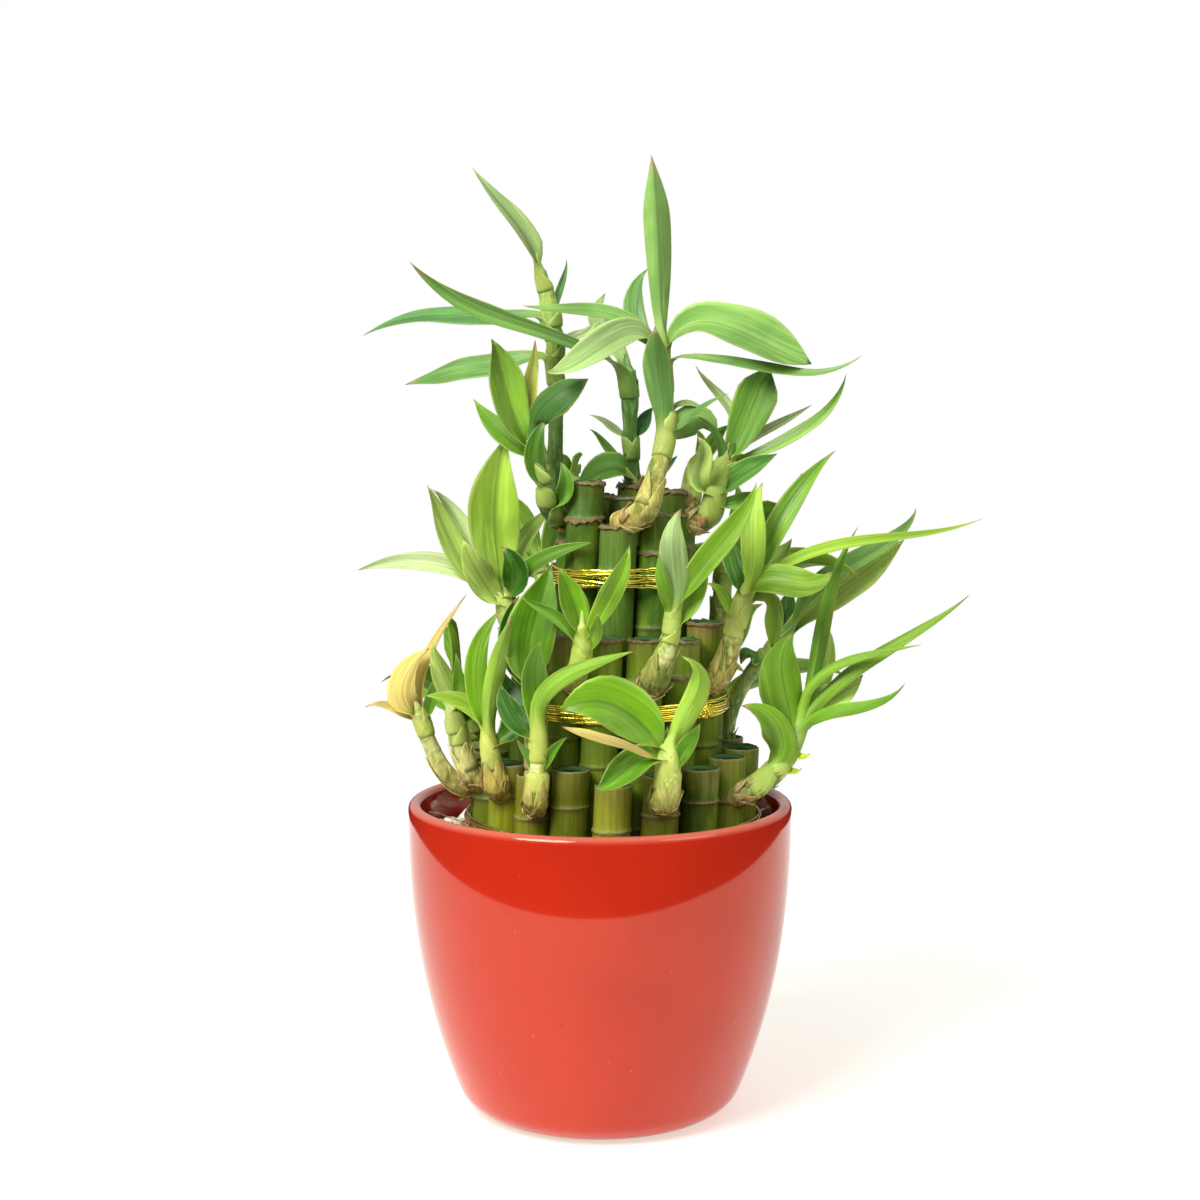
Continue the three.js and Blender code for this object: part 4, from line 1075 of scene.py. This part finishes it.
def leafFoot(rows, base, ahead):
    # where a blade starts: just under the skin of its stem, on the side it heads for
    under = 1.6
    best = None
    for k, (a, b) in enumerate(zip(rows, rows[1:])):
        start, end = Vector(a[:3]), Vector(b[:3])
        length = (end - start).length
        along = (end - start) / length
        most = length - under if k + 2 == len(rows) else length
        s = min(max((base - start).dot(along), 0), most)
        p = start + along * s
        away = (p - base).length
        if best is None or away < best["away"]:
            best = {"p": p, "along": along, "radius": lerp(a[3], b[3], s / length), "away": away}
    aim = (ahead - best["p"]).normalized()
    aim -= best["along"] * aim.dot(best["along"])
    best["foot"] = best["p"] + aim * max(0, best["radius"] - under)
    best["aim"] = aim.normalized()
    return best


def alongStem(frames, run):
    # centre, heading and thickness of a stem, run millimetres up from its foot
    if run >= frames[-1][3]:
        p, along, r, last = frames[-1]
        return p + along * (run - last), along, r
    for low, high in zip(frames, frames[1:]):
        if high[3] >= run:
            t = max(0, (run - low[3]) / (high[3] - low[3]))
            return low[0].lerp(high[0], t), low[1].lerp(high[1], t).normalized(), lerp(low[2], high[2], t)


blade = {
    "across": 10, "step": 3.0, "crowd": 1.12, "thick": 0.55, "edge": 0.24, "thin": 0.6,
    "fold": (0.20, 0.52), "baseFold": 0.8, "tipFold": 0.12, "wave": 0.07, "waves": (1.4, 1.6), "twist": 18,
    "sheath": (4.0, 8.0), "sheathRows": 5, "wrap": 168, "open": 92, "peel": 0.25, "flare": 0.05,
}


def halfWidth(t, width, peak):
    if t < peak:
        low = min(0.40, 5.0 / width)
        return width / 2 * (low + (1 - low) * math.sin(math.pi / 2 * t / peak) ** (2 * peak))
    return width / 2 * math.cos(math.pi / 2 * (t - peak) / (1 - peak)) ** 1.08


def addLeaf(skin, row, face, stem, frames, tone, footTone, rng):
    base, p1, p2, tip, width, peak, turn, tint = row
    p1, p2, tip = Vector(p1), Vector(p2), Vector(tip)
    hold = leafFoot(stem, Vector(base), p1)
    line, length = midrib([hold["foot"], p1, p2, tip])
    footRun = min(frames, key=lambda f: (f[0] - hold["p"]).length)[3]
    tone = jitter(tone, rng, 0.05)
    own = rng.random()
    dryness = 1.0 if tint in ("dry", "grey") else (0.9 if rng.random() < 0.4 else 0.2)
    dried = 1.0 if tint == "dry" else 0.0
    fold = lerp(*blade["fold"], rng.random())
    fewest, more = blade["waves"]
    waves, phase = fewest + more * rng.random(), rng.random() * fullTurn
    twist = blade["twist"] * (rng.random() - 0.5) * 2
    long = min(lerp(*blade["sheath"], rng.random()), footRun - 1.5)
    count = max(12, round(length / blade["step"]))
    # rows of the sheath that hugs the stem, as far as there is stem below, then those of the blade
    below = [-long * (1 - i / blade["sheathRows"]) for i in range(blade["sheathRows"])] if long > 2 else []
    stations = [(0.0, drop) for drop in below]
    stations += [((k / count) ** blade["crowd"], 0.0) for k in range(count)]
    across = blade["across"]
    flip = None
    rings = []
    for t, drop in stations:
        p = line(t)
        along = (line(min(1, t + 0.01)) - line(max(0, t - 0.01))).normalized()
        up = Vector(face)
        up = (up - along * up.dot(along)).normalized()
        up = Quaternion(along, math.radians(turn + twist * t)) @ up
        if flip is None:
            # a blade seen from outside shows its underside
            flip = -1 if up.dot(hold["aim"]) > 0.45 else 1
        up *= flip
        side = up.cross(along)
        half = halfWidth(t, width, peak)
        peel = ease(t / blade["peel"])
        rise = drop + t * length * 0.7
        centre, heading, r = alongStem(frames, footRun + rise)
        aim = (hold["aim"] - heading * hold["aim"].dot(heading)).normalized()
        other = heading.cross(aim)
        grown = (rise + long) / max(long, 1)
        span = lerp(blade["wrap"], blade["open"], min(1, grown) ** 1.4) - 40 * peel
        reach = r + lerp(0.12, 0.3, min(1, 4 * grown)) + blade["flare"] * long * grown
        skinTone = blend3(footTone, tone, ease((t + 0.05) / 0.25))
        keel = lerp(blade["baseFold"], fold, ease(t / 0.4)) + blade["tipFold"] * ease((t - 0.7) / 0.3)
        top, low = [], []
        for i in range(across + 1):
            u = -1 + 2 * i / across
            a = math.radians(span) * u
            hug = aim * math.cos(a) + other * math.sin(a)
            curl = math.sin(fullTurn * waves * t + phase + (1.2 if u > 0 else 0))
            lift = keel * abs(u) ** 1.18 * half + blade["wave"] * half * curl * u * u
            flat = p + side * (half * u * (1 - 0.3 * keel * keel)) + up * lift
            q = (centre + hug * reach).lerp(flat, peel)
            way = (hug * -1).lerp(up, peel).normalized()
            thick = lerp(blade["thick"], blade["edge"], abs(u) ** 1.6) * lerp(1.1, blade["thin"], t) / 2
            told = {"run": t + drop / length, "side": u, "wide": u * half}
            told.update(own=own, age=dryness, dry=dried)
            top.append(skin.point(q + way * thick, skinTone, **told))
            low.append(skin.point(q - way * thick, skinTone, under=1.0, **told))
        rings.append(top + low[::-1])
    first = len(skin.faces)
    skin.band(rings, leafSlot)
    skin.face(tuple(reversed(rings[0])), leafSlot)
    end = skin.point(tip, tone, run=1.0, own=own, age=dryness, dry=dried)
    last = rings[-1]
    for a, b in zip(last, last[1:] + last[:1]):
        skin.face((a, b, end), leafSlot)
    skin.outward(first)


stemShape = {
    "sides": 18, "thin": (0.86, 0.74), "scarLow": 1.9, "scarHigh": 6.5, "flange": 0.12, "fuzz": 0.5,
    "bud": 7.0, "budRows": ((0.05, 0.86), (0.15, 0.66), (0.35, 0.5), (0.6, 0.36), (0.85, 0.18), (1.0, 0.05)),
}


def stemLine(rows):
    # smooth centre line and thickness through the rows
    points = [Vector(r[:3]) for r in rows]
    made = []
    for k in range(len(points) - 1):
        steps = max(3, round((points[k + 1] - points[k]).length / 0.6))
        for i in range(steps):
            t = i / steps
            made.append((curveAt(points, k, t), lerp(rows[k][3], rows[k + 1][3], ease(t))))
    made.append((points[-1], rows[-1][3]))
    return [(p, r * lerp(*stemShape["thin"], k / (len(made) - 1))) for k, (p, r) in enumerate(made)]


def addStem(skin, rows, tones, mottle, rng):
    line = stemLine(rows)
    runs = [0.0]
    for a, b in zip(line, line[1:]):
        runs.append(runs[-1] + (b[0] - a[0]).length)
    total = runs[-1]
    scars = []
    s = 4.0
    while s < total - 2:
        scars.append((s, 0.4 + 0.9 * rng.random()))
        gap = lerp(stemShape["scarLow"], stemShape["scarHigh"], ease(s / 38))
        s += gap * (0.6 + 0.8 * rng.random())
    # the growing point: a rolled young leaf
    count = len(line)
    tip, tipRadius = line[-1]
    ahead = (tip - line[-3][0]).normalized()
    for far, share in stemShape["budRows"]:
        line.append((tip + ahead * stemShape["bud"] * far, tipRadius * share))
        runs.append(total + stemShape["bud"] * far)
    side = Vector((1, 0, 0))
    own = rng.random()
    rings, frames = [], []
    for k, (p, r) in enumerate(line):
        run = runs[k]
        along = (line[min(k + 1, len(line) - 1)][0] - line[max(k - 1, 0)][0]).normalized()
        side = (side - along * side.dot(along)).normalized()
        other = along.cross(side)
        tone = blend3(*tones, ease(run / max(18, total)))
        made = []
        for a in spokes(stemShape["sides"]):
            swirl = wander(a, 1.3, own * 90)
            grow = r * (1 + 0.07 * wander(a, 1.2, run * 0.2 + own * 50))
            ringMark = 0.0
            for scar, depth in scars:
                d = run - scar - 0.9 * swirl
                if -1.5 < d < 4:
                    edge = math.exp(-d / 1.2) if d >= 0 else -math.exp(d / 0.4)
                    grow += stemShape["flange"] * depth * edge
                    ringMark = max(ringMark, depth * math.exp(-((d + 0.1) / 0.35) ** 2))
            fuzz = wander(a, 5, run * 0.9 + own * 30)
            grow += stemShape["fuzz"] * fuzz * ease(1.3 - run / 9)
            q = p + (side * math.cos(a) + other * math.sin(a)) * grow
            made.append(skin.point(q, tone, run=run, ring=min(1, ringMark), age=mottle))
        rings.append(made)
        if k < count:
            frames.append((p, along, r, run))
    skin.tube(rings, stemSlot)
    return frames


def addSlip(skin, rows, middle, across, thick, tone):
    # a papery slip; a row is its centre, two directions, distance out, half its width and its run
    rings = []
    for centre, side, other, far, wide, run in rows:
        out, back = [], []
        for j in range(across):
            a = middle + wide * (2 * j / (across - 1) - 1)
            way = side * math.cos(a) + other * math.sin(a)
            out.append(skin.point(centre + way * (far + thick / 2), tone, run=run))
            back.append(skin.point(centre + way * (far - thick / 2), tone, run=run))
        rings.append(out + back[::-1])
    skin.tube(rings, paperSlot)


papers = {
    "scales": 11, "scaleThick": 0.28, "husks": 5, "huskThick": 0.24, "stand": 0.30,
    "turn": 0.382,  # share of a full turn from one slip to the next
}


def addScales(skin, frames, rng):
    # dry papery scales left round the foot of a shoot
    for n in range(papers["scales"]):
        k = next((i for i, f in enumerate(frames) if f[3] > 6 + 9 * rng.random() ** 1.5), 4)
        dry = blend3(*paperLook["scale"], rng.random())
        p, along, r, _ = frames[k]
        middle = fullTurn * (n * papers["turn"] + rng.random() * 0.1)
        side = along.orthogonal().normalized()
        other = along.cross(side)
        tall = 2.6 + 3.6 * rng.random()
        wide = math.radians(26 + 22 * rng.random())
        flare = 0.2 + 1.0 * rng.random()
        rows = []
        for share in (0, 0.25, 0.5, 0.75, 1):
            far = r + papers["stand"] + flare * share ** 2
            centre = p + along * (tall * share - 0.6)
            rows.append((centre, side, other, far, wide * (1 - share * 0.92), share))
        addSlip(skin, rows, middle, 5, papers["scaleThick"], dry)


def addHusks(skin, frames, foot, rng):
    # what is left of old sheaths: long papery slips that hug the stem and end in a point
    for n in range(papers["husks"]):
        start = 6.5 + 10 * rng.random()
        tall = min(7 + 8 * rng.random(), frames[-1][3] - start - 0.5)
        middle = 2 * math.pi * (n * papers["turn"] + rng.random() * 0.2)
        wide = math.radians(42 + 30 * rng.random())
        flare = 0.1 + 1.5 * rng.random() ** 2
        dry = blend3(foot, paperLook["husk"], 0.15 + 0.5 * rng.random())
        if tall < 3:
            continue
        side = frames[0][1].orthogonal().normalized()
        rows = []
        for i in range(8):
            share = i / 7
            p, along, r = alongStem(frames, start + tall * share)
            side = (side - along * side.dot(along)).normalized()
            far = r * 1.05 + papers["stand"] + flare * share ** 3
            rows.append((p, side, along.cross(side), far, wide * (1 - share ** 1.5 * 0.94), share * 0.9))
        addSlip(skin, rows, middle, 7, papers["huskThick"], dry)


# shoots at the back, grown by a rule: cane, seed of its draw and size
backShoots = [
    ("inner_6", 227, 0.4),
    ("inner_4", 40, 0.45),
    ("middle_5", 1, 1),
    ("middle_7", 1, 1),
    ("middle_9", 10, 1),
    ("outer_8", 3, 1),
    ("outer_10", 1, 1),
    ("outer_11", 39, 1),
    ("outer_14", 362, 1),
]
backTones = ((0.22, 0.32, 0.05), (0.15, 0.36, 0.05))


def grownShoot(cane, seed, size):
    draw = drawer(seed)
    spot = caneSpot(cane)
    start = caneAxis(spot, spot["top"] - 9)
    heading = spot["angle"] + (draw() - 0.5) * 0.5
    out = Vector((math.sin(heading), -math.cos(heading), 0))
    tall = size * (22 + 16 * draw())

    def at(reach, rise):
        return (start.x + out.x * reach, start.y + out.y * reach, start.z + rise)

    lean = 3 + 5 * draw()
    stem = [
        (*at(0, 0), 4.8),
        (*at(9, 4), 4.6),
        (*at(9 + lean * 0.5, 6 + tall * 0.5), 3.7),
        (*at(9 + lean, 4 + tall), 2.6),
    ]
    leaves = []
    for i in range(4):
        share = 0.45 + 0.5 * i / 3
        base = at(9 + lean * share, 4 + tall * share)
        turnOut = heading + (1 if i % 2 else -1) * (0.5 + 0.6 * draw())
        pitch = math.radians(20 + 14 * i + 16 * draw())
        length = size * (50 + 22 * draw() - 4 * i)
        droop = size * (8 + 14 * draw())

        def spread(f, sink):
            return (
                base[0] + math.sin(turnOut) * length * f * math.cos(pitch),
                base[1] - math.cos(turnOut) * length * f * math.cos(pitch),
                base[2] + length * f * math.sin(pitch) - sink,
            )

        wide = (9 + 5 * draw()) * math.sqrt(size)
        tint = ("mid", "fresh", "deep", "mid")[(i + seed) % 4]
        line = (base, spread(0.33, 0), spread(0.68, droop * 0.3), spread(1, droop))
        leaves.append((*line, wide, 0.48, 0, tint))
    face = (out.x * 0.8, out.y * 0.8, 0.6)
    return {"cane": cane, "tones": backTones, "stem": stem, "leaves": leaves, "face": face}


def buildStalks():
    grown = [{"face": frontFace, **shoot} for shoot in shoots.values()]
    grown += [grownShoot(*row) for row in backShoots]
    for tier, facts in tiers.items():
        for k in range(len(facts["angles"])):
            name = f"{tier}_{k + 1}"
            skin = Skin(caneSkin, cutPith, shootSkin, paperScale, leafSkin)
            addCane(skin, name)
            own = [s for s in grown if s["cane"] == name]
            for n, shoot in enumerate(own):
                rng = random.Random(facts["seed"] * 100 + k * 7 + n)
                tones, mottle, cool = shoot["tones"], shoot.get("mottle", 1.0), shoot.get("cool", 0)
                frames = addStem(skin, shoot["stem"], tones, mottle, rng)
                addScales(skin, frames, rng)
                if tier == "outer" or mottle > 0.4:
                    addHusks(skin, frames, tones[0], random.Random(facts["seed"] * 900 + k * 3 + n))
                for row in shoot["leaves"]:
                    red, green, blue = tints[row[-1]]
                    tone = (red, green, max(blue, min(blue + cool, 0.25 * green)))
                    addLeaf(skin, row, shoot["face"], shoot["stem"], frames, tone, blend3(*tones, 0.7), rng)
            slotName = "leafy_stalk" if own else "bare_cane"
            skin.finish("cane-" + name.replace("_", "-"), "stalk_" + name, slotName=slotName)


bed = {
    "top": 100.4, "wall": 64.3, "foot": 7.5, "footRadius": 30, "rows": (14, 28, 45, 62, 80, 95),
    "tone": (0.2, 0.2, 0.15),
    "pebbles": 128, "ring": (44, 65), "size": (3.8, 6.2), "spacing": 0.78,
    "layers": (0.2, 3.4, 6.2), "layerEnds": (0.38, 0.74),
    "heapSide": -0.55,  # the top layer lies only at the left, where the cosine is under this
    "roots": 26, "ground": 102.2,
}


def buildBed():
    skin = Skin(grit)
    well, top = bundle["wellFloor"], bed["top"]
    reach = outerReach + bundle["fitGap"] + 0.9
    # radius, height and whether the ring is centred on the bundle
    rows = [(bed["footRadius"], bed["foot"], 0), (potOutside(pot["floor"]) - 12.5, bed["foot"], 0)]
    rows += [(potOutside(z) - pot["wall"] - 0.8, z, 0) for z in bed["rows"]]
    rows += [(bed["wall"] - 0.6, top - 1, 0), (bed["wall"] - 2, top, 0)]
    rows += [(reach, top - 0.4, 1), (reach, 84, 1), (reach, well, 1), (20, well, 1)]
    rings = []
    for r, z, centred in rows:
        x = bundleAt(z) if centred else 0
        ring = []
        for a in spokes(96):
            rough = 0.5 * wander(a, 9, z) if 98 < z < 102 else 0
            ring.append(skin.point((x + r * math.cos(a), r * math.sin(a), z + rough), bed["tone"]))
        rings.append(ring)
    skin.tube(rings, 0)
    skin.finish("grit-bed", "pebble_bed", slotName="pebbles")


def buildPebbles():
    rng = random.Random(17)
    skin = Skin(stone)
    work = bmesh.new()
    bmesh.ops.create_icosphere(work, subdivisions=3, radius=1)
    shape = [v.co.copy() for v in work.verts]
    corners = [tuple(v.index for v in f.verts) for f in work.faces]
    work.free()
    reach = outerReach + 1.2
    placed = []
    tries = 0
    while len(placed) < bed["pebbles"] and tries < 20000:
        tries += 1
        size = lerp(*bed["size"], rng.random() ** 1.4)
        a = rng.random() * 2 * math.pi
        r = lerp(*bed["ring"], rng.random())
        layer = sum(len(placed) >= bed["pebbles"] * share for share in bed["layerEnds"])
        z = bed["top"] + bed["layers"][layer]
        spot = Vector((r * math.cos(a), r * math.sin(a), z))
        if layer == 2 and math.cos(a) > bed["heapSide"]:
            continue
        fromBundle = (spot.xy - Vector((bundleAt(z), 0))).length
        if spot.xy.length + size * 0.92 > bed["wall"] or fromBundle - size * 0.85 < reach:
            continue
        if any((spot - other).length < bed["spacing"] * (size + big) for other, big in placed):
            continue
        placed.append((spot, size))
        tone = blend3(stoneLook["white"], stoneLook["grey"], rng.random() ** 2.2)
        tone = jitter(tone, rng, 0.12)
        turn = [rng.random() - 0.5 for _ in range(3)]
        turn = Quaternion((*turn, rng.random())).normalized()
        squash = Vector((1, 0.74 + 0.2 * rng.random(), 0.56 + 0.2 * rng.random()))
        seed = rng.random() * 90
        first = len(skin.points)
        for v in shape:
            lump = 1 + 0.22 * noise.noise(v * 1.1 + Vector((seed, 0, 0)))
            lump += 0.05 * noise.noise(v * 3 + Vector((0, seed, 0)))
            skin.point(spot + turn @ (v * squash * size * lump), tone)
        for c in corners:
            skin.face(tuple(first + i for i in c), 0)
    print("pebbles laid:", len(placed))
    skin.finish("river-pebbles", "pebble_bed", slotName="pebbles")


def addStrand(skin, line, radii, sides, tone, closed=False, flat=1.0, spin=0.0):
    # a wire or root along a line, from its first thickness to its last
    side = Vector((0, 0, 1))
    rings = []
    count = len(line)
    for k, p in enumerate(line):
        if closed:
            along = line[(k + 1) % count] - line[k - 1]
        else:
            along = line[min(k + 1, count - 1)] - line[max(k - 1, 0)]
        along.normalize()
        side = (side - along * side.dot(along)).normalized()
        turned = Quaternion(along, spin * k) @ side
        other = along.cross(turned)
        r = lerp(*radii, k / (count - 1))
        made = []
        for a in spokes(sides):
            q = p + turned * r * math.cos(a) + other * r * flat * math.sin(a)
            made.append(skin.point(q, tone, run=k / count))
        rings.append(made)
    skin.tube(rings, 0, closed)


def buildRoots():
    rng = random.Random(29)
    skin = Skin(rootSkin)
    reach = outerReach + 0.5
    wall = bed["wall"] - 1.2
    middle = Vector((bundleAt(106), 0))
    for n in range(bed["roots"]):
        # most of them show at the left inside the rim, a few at the right
        a = math.pi + (rng.random() - 0.35) * 1.5 if n % 4 else (rng.random() - 0.6) * 1.1
        far = reach + 0.1
        p = Vector((middle.x + far * math.cos(a), far * math.sin(a), 103 + 6 * rng.random()))
        line = [p]
        heading = a + (rng.random() - 0.5) * 2.2
        rise = 0.5 * rng.random()
        for _ in range(15):
            heading += (rng.random() - 0.5) * 1.1
            rise += (rng.random() - 0.62) * 0.55
            p = p + Vector((math.cos(heading), math.sin(heading), rise)) * 1.05
            if p.z < bed["ground"]:
                p.z = bed["ground"] + rng.random() * 0.4
                rise = 0.1
            if p.xy.length > wall:
                p.xy = p.xy.normalized() * wall
            away = p.xy - middle
            if away.length < reach:
                p.xy = middle + away.normalized() * reach
            line.append(p)
        thick = 0.26 + 0.3 * rng.random()
        tone = jitter(blend3(rootLook["brown"], rootLook["pale"], rng.random()), rng, 0.2)
        addStrand(skin, line, (thick, thick * 0.35), 6, tone)
    skin.finish("fine-roots")


# strands are given by their heights above and below the middle of the tie
ties = {
    "inner": {
        "height": 196.5, "strands": [2.3, 1.0, -0.3, -1.3, -2.5], "loose": 0.6, "steps": 180,
        "tone": (0.98, 0.82, 0.09),
    },
    "middle": {
        "height": 150.0, "strands": [2.5, 1.2, 0.1, -1.2, -2.4], "loose": 0.42, "steps": 180,
        "tone": (0.98, 0.82, 0.09),
    },
    "outer": {
        "height": 109.5, "strands": [-0.5, -1.4, -2.1, -2.8], "loose": 0.35, "steps": 220,
        # painted shade: the outer tie's gold is darker than the others, for the shade down in the mouth of
        # the pot
        "tone": (0.56, 0.42, 0.07),
    },
}
wire = {"radius": 0.7, "flat": 0.5, "reach": 3.3}
knot = {"tie": "middle", "size": (4.4, 2.4, 3.6), "angle": 47, "bends": 46, "radius": 0.42, "flat": 0.55}


def addKnot(skin, reach, facts, rng):
    # the crumpled twist where the ends of the wire meet
    a = math.radians(knot["angle"])
    right = Vector((math.cos(a), math.sin(a), 0))
    out = Vector((math.sin(a), -math.cos(a), 0))
    middle = Vector((bundleAt(facts["height"]), 0, facts["height"]))
    middle += out * (reach + 0.4 + knot["size"][1])
    for _ in range(2):
        bends = []
        for _ in range(knot["bends"]):
            way = Vector([rng.random() - 0.5 for _ in range(3)]).normalized()
            size = [0.82 * s * (0.7 + 0.3 * rng.random()) for s in knot["size"]]
            bend = right * way.x * size[0] + out * way.y * size[1] + Vector((0, 0, way.z * size[2]))
            bends.append(middle + bend)
        line = [curveAt(bends, k, i / 7) for k in range(len(bends) - 1) for i in range(7)]
        addStrand(skin, line, (knot["radius"],) * 2, 6, facts["tone"], flat=knot["flat"], spin=0.06)


def buildTies():
    for number, (tier, facts) in enumerate(ties.items()):
        rng = random.Random(71 + number)
        skin = Skin(goldFoil)
        reach = tiers[tier]["ring"] + bundle["caneRadius"] + 0.5
        height = facts["height"]
        for n, level in enumerate(facts["strands"]):
            seed = rng.random() * 60
            line = []
            for a in spokes(facts["steps"]):
                sway = 2.2 * wander(a, 1.7, seed) + 0.55 * wander(a, 11, seed + 9)
                z = height + level + facts["loose"] * sway
                z = min(height + wire["reach"], max(height - wire["reach"], z))
                r = reach + 0.5 + 0.25 * wander(a, 7, seed + 21) + 0.55 * (n % 2)
                line.append(Vector((bundleAt(height) + r * math.cos(a), r * math.sin(a), z)))
            addStrand(skin, line, (wire["radius"],) * 2, 8, facts["tone"], closed=True, flat=wire["flat"])
        if tier == knot["tie"]:
            addKnot(skin, reach, facts, rng)
        skin.finish(f"gold-tie-{tier}", f"tie_{tier}", slotName="gold_wire")


buildPot()
print("pot thrown")
buildBed()
buildPebbles()
buildRoots()
print("bed laid")
buildTies()
print("ties wound")
buildStalks()
print("canes and shoots grown")

# lengths in metres from here on
stage = {
    "floorRadius": 0.437, "floorMiddle": (0.01, 0.15), "floorTop": -0.0004, "floorThick": 0.012,
    "floorTone": (0.76, 0.745, 0.69), "floorCloud": (0.73, 0.72, 0.67),
    "glow": 0.47, "glowTone": (1, 0.985, 0.92, 1),
    "sky": 0.58, "skyTone": (1, 0.995, 0.98, 1), "under": 0.02,
    "lampTone": (1.0, 0.98, 0.95), "aim": (0, 0, 0.16),
    # place, size and power of each lamp
    "lamps": {
        "key softbox": ((-0.75, -0.95, 1.25), 0.9, 32.0),
        "fill softbox": ((0.95, -0.55, 0.95), 0.8, 4.0),
    },
    "cameraSpot": (0, -0.757, 0.260), "cameraDown": 0.0970, "lens": 62.94, "sensor": 36,
}


def floorNodes(flow):
    where = place(flow)
    return {
        "Base Color": mixed(grain(where, 22, 2), stage["floorTone"], stage["floorCloud"]),
        "Roughness": 0.6 + grain(where, 60, 1) * 0.1,
    }


def buildFloor():
    mesh = bpy.data.meshes.new("pale-floor")
    sides = 128
    cx, cy = stage["floorMiddle"]
    r, top = stage["floorRadius"], stage["floorTop"]
    rim = [(cx + r * math.cos(a), cy + r * math.sin(a)) for a in spokes(sides)]
    points = [(x, y, z) for z in (top, top - stage["floorThick"]) for x, y in rim]
    faces = [tuple(range(sides)), tuple(reversed(range(sides, 2 * sides)))]
    faces += [(i, i + sides, (i + 1) % sides + sides, (i + 1) % sides) for i in range(sides)]
    mesh.from_pydata(points, [], faces)
    white = {"Emission_Color": stage["glowTone"], "Emission_Strength": stage["glow"]}
    mesh.materials.append(newFinish("pale floor", floorNodes, **white))
    floor = bpy.data.objects.new("pale-floor", mesh)
    scene.collection.objects.link(floor)


def buildWorld():
    world = bpy.data.worlds.new("soft studio")
    scene.world = world
    world.use_nodes = True
    tree = world.node_tree
    tree.nodes.clear()
    flow = Flow(tree)
    seen = flow.node("ShaderNodeLightPath", None, None, "Is Camera Ray")
    direction = flow.node("ShaderNodeTexCoord", None, None, "Generated")
    rise = flow.node("ShaderNodeSeparateXYZ", None, {0: direction}, 2)
    amount = rise.step(-0.04, 0.10) * (stage["sky"] - stage["under"]) + stage["under"]
    studio = flow.node("ShaderNodeBackground", None, {0: stage["skyTone"], 1: amount})
    plain = flow.node("ShaderNodeBackground", None, {0: (1, 1, 1, 1), 1: 1.0})
    both = flow.node("ShaderNodeMixShader", None, {0: seen, 1: studio, 2: plain})
    flow.node("ShaderNodeOutputWorld", None, {0: both})


def addLamp(name, spot, size, power):
    data = bpy.data.lights.new(name, "AREA")
    data.shape = "DISK"
    data.size = size
    data.energy = power
    data.color = stage["lampTone"]
    lamp = bpy.data.objects.new(name, data)
    lamp.location = spot
    lamp.rotation_euler = (Vector(stage["aim"]) - Vector(spot)).to_track_quat("-Z", "Y").to_euler()
    scene.collection.objects.link(lamp)


def addCamera():
    data = bpy.data.cameras.new("camera")
    data.sensor_fit = "HORIZONTAL"
    data.sensor_width = stage["sensor"]
    data.lens = stage["lens"]
    camera = bpy.data.objects.new("camera", data)
    camera.location = stage["cameraSpot"]
    camera.rotation_euler = (math.pi / 2 - stage["cameraDown"], 0, 0)
    scene.collection.objects.link(camera)
    return camera


buildFloor()
buildWorld()
for name, facts in stage["lamps"].items():
    addLamp(name, *facts)
bpy.context.scene.camera = addCamera()
scene.view_settings.view_transform = "Standard"
scene.view_settings.look = "None"
print("floor, lights and camera set")
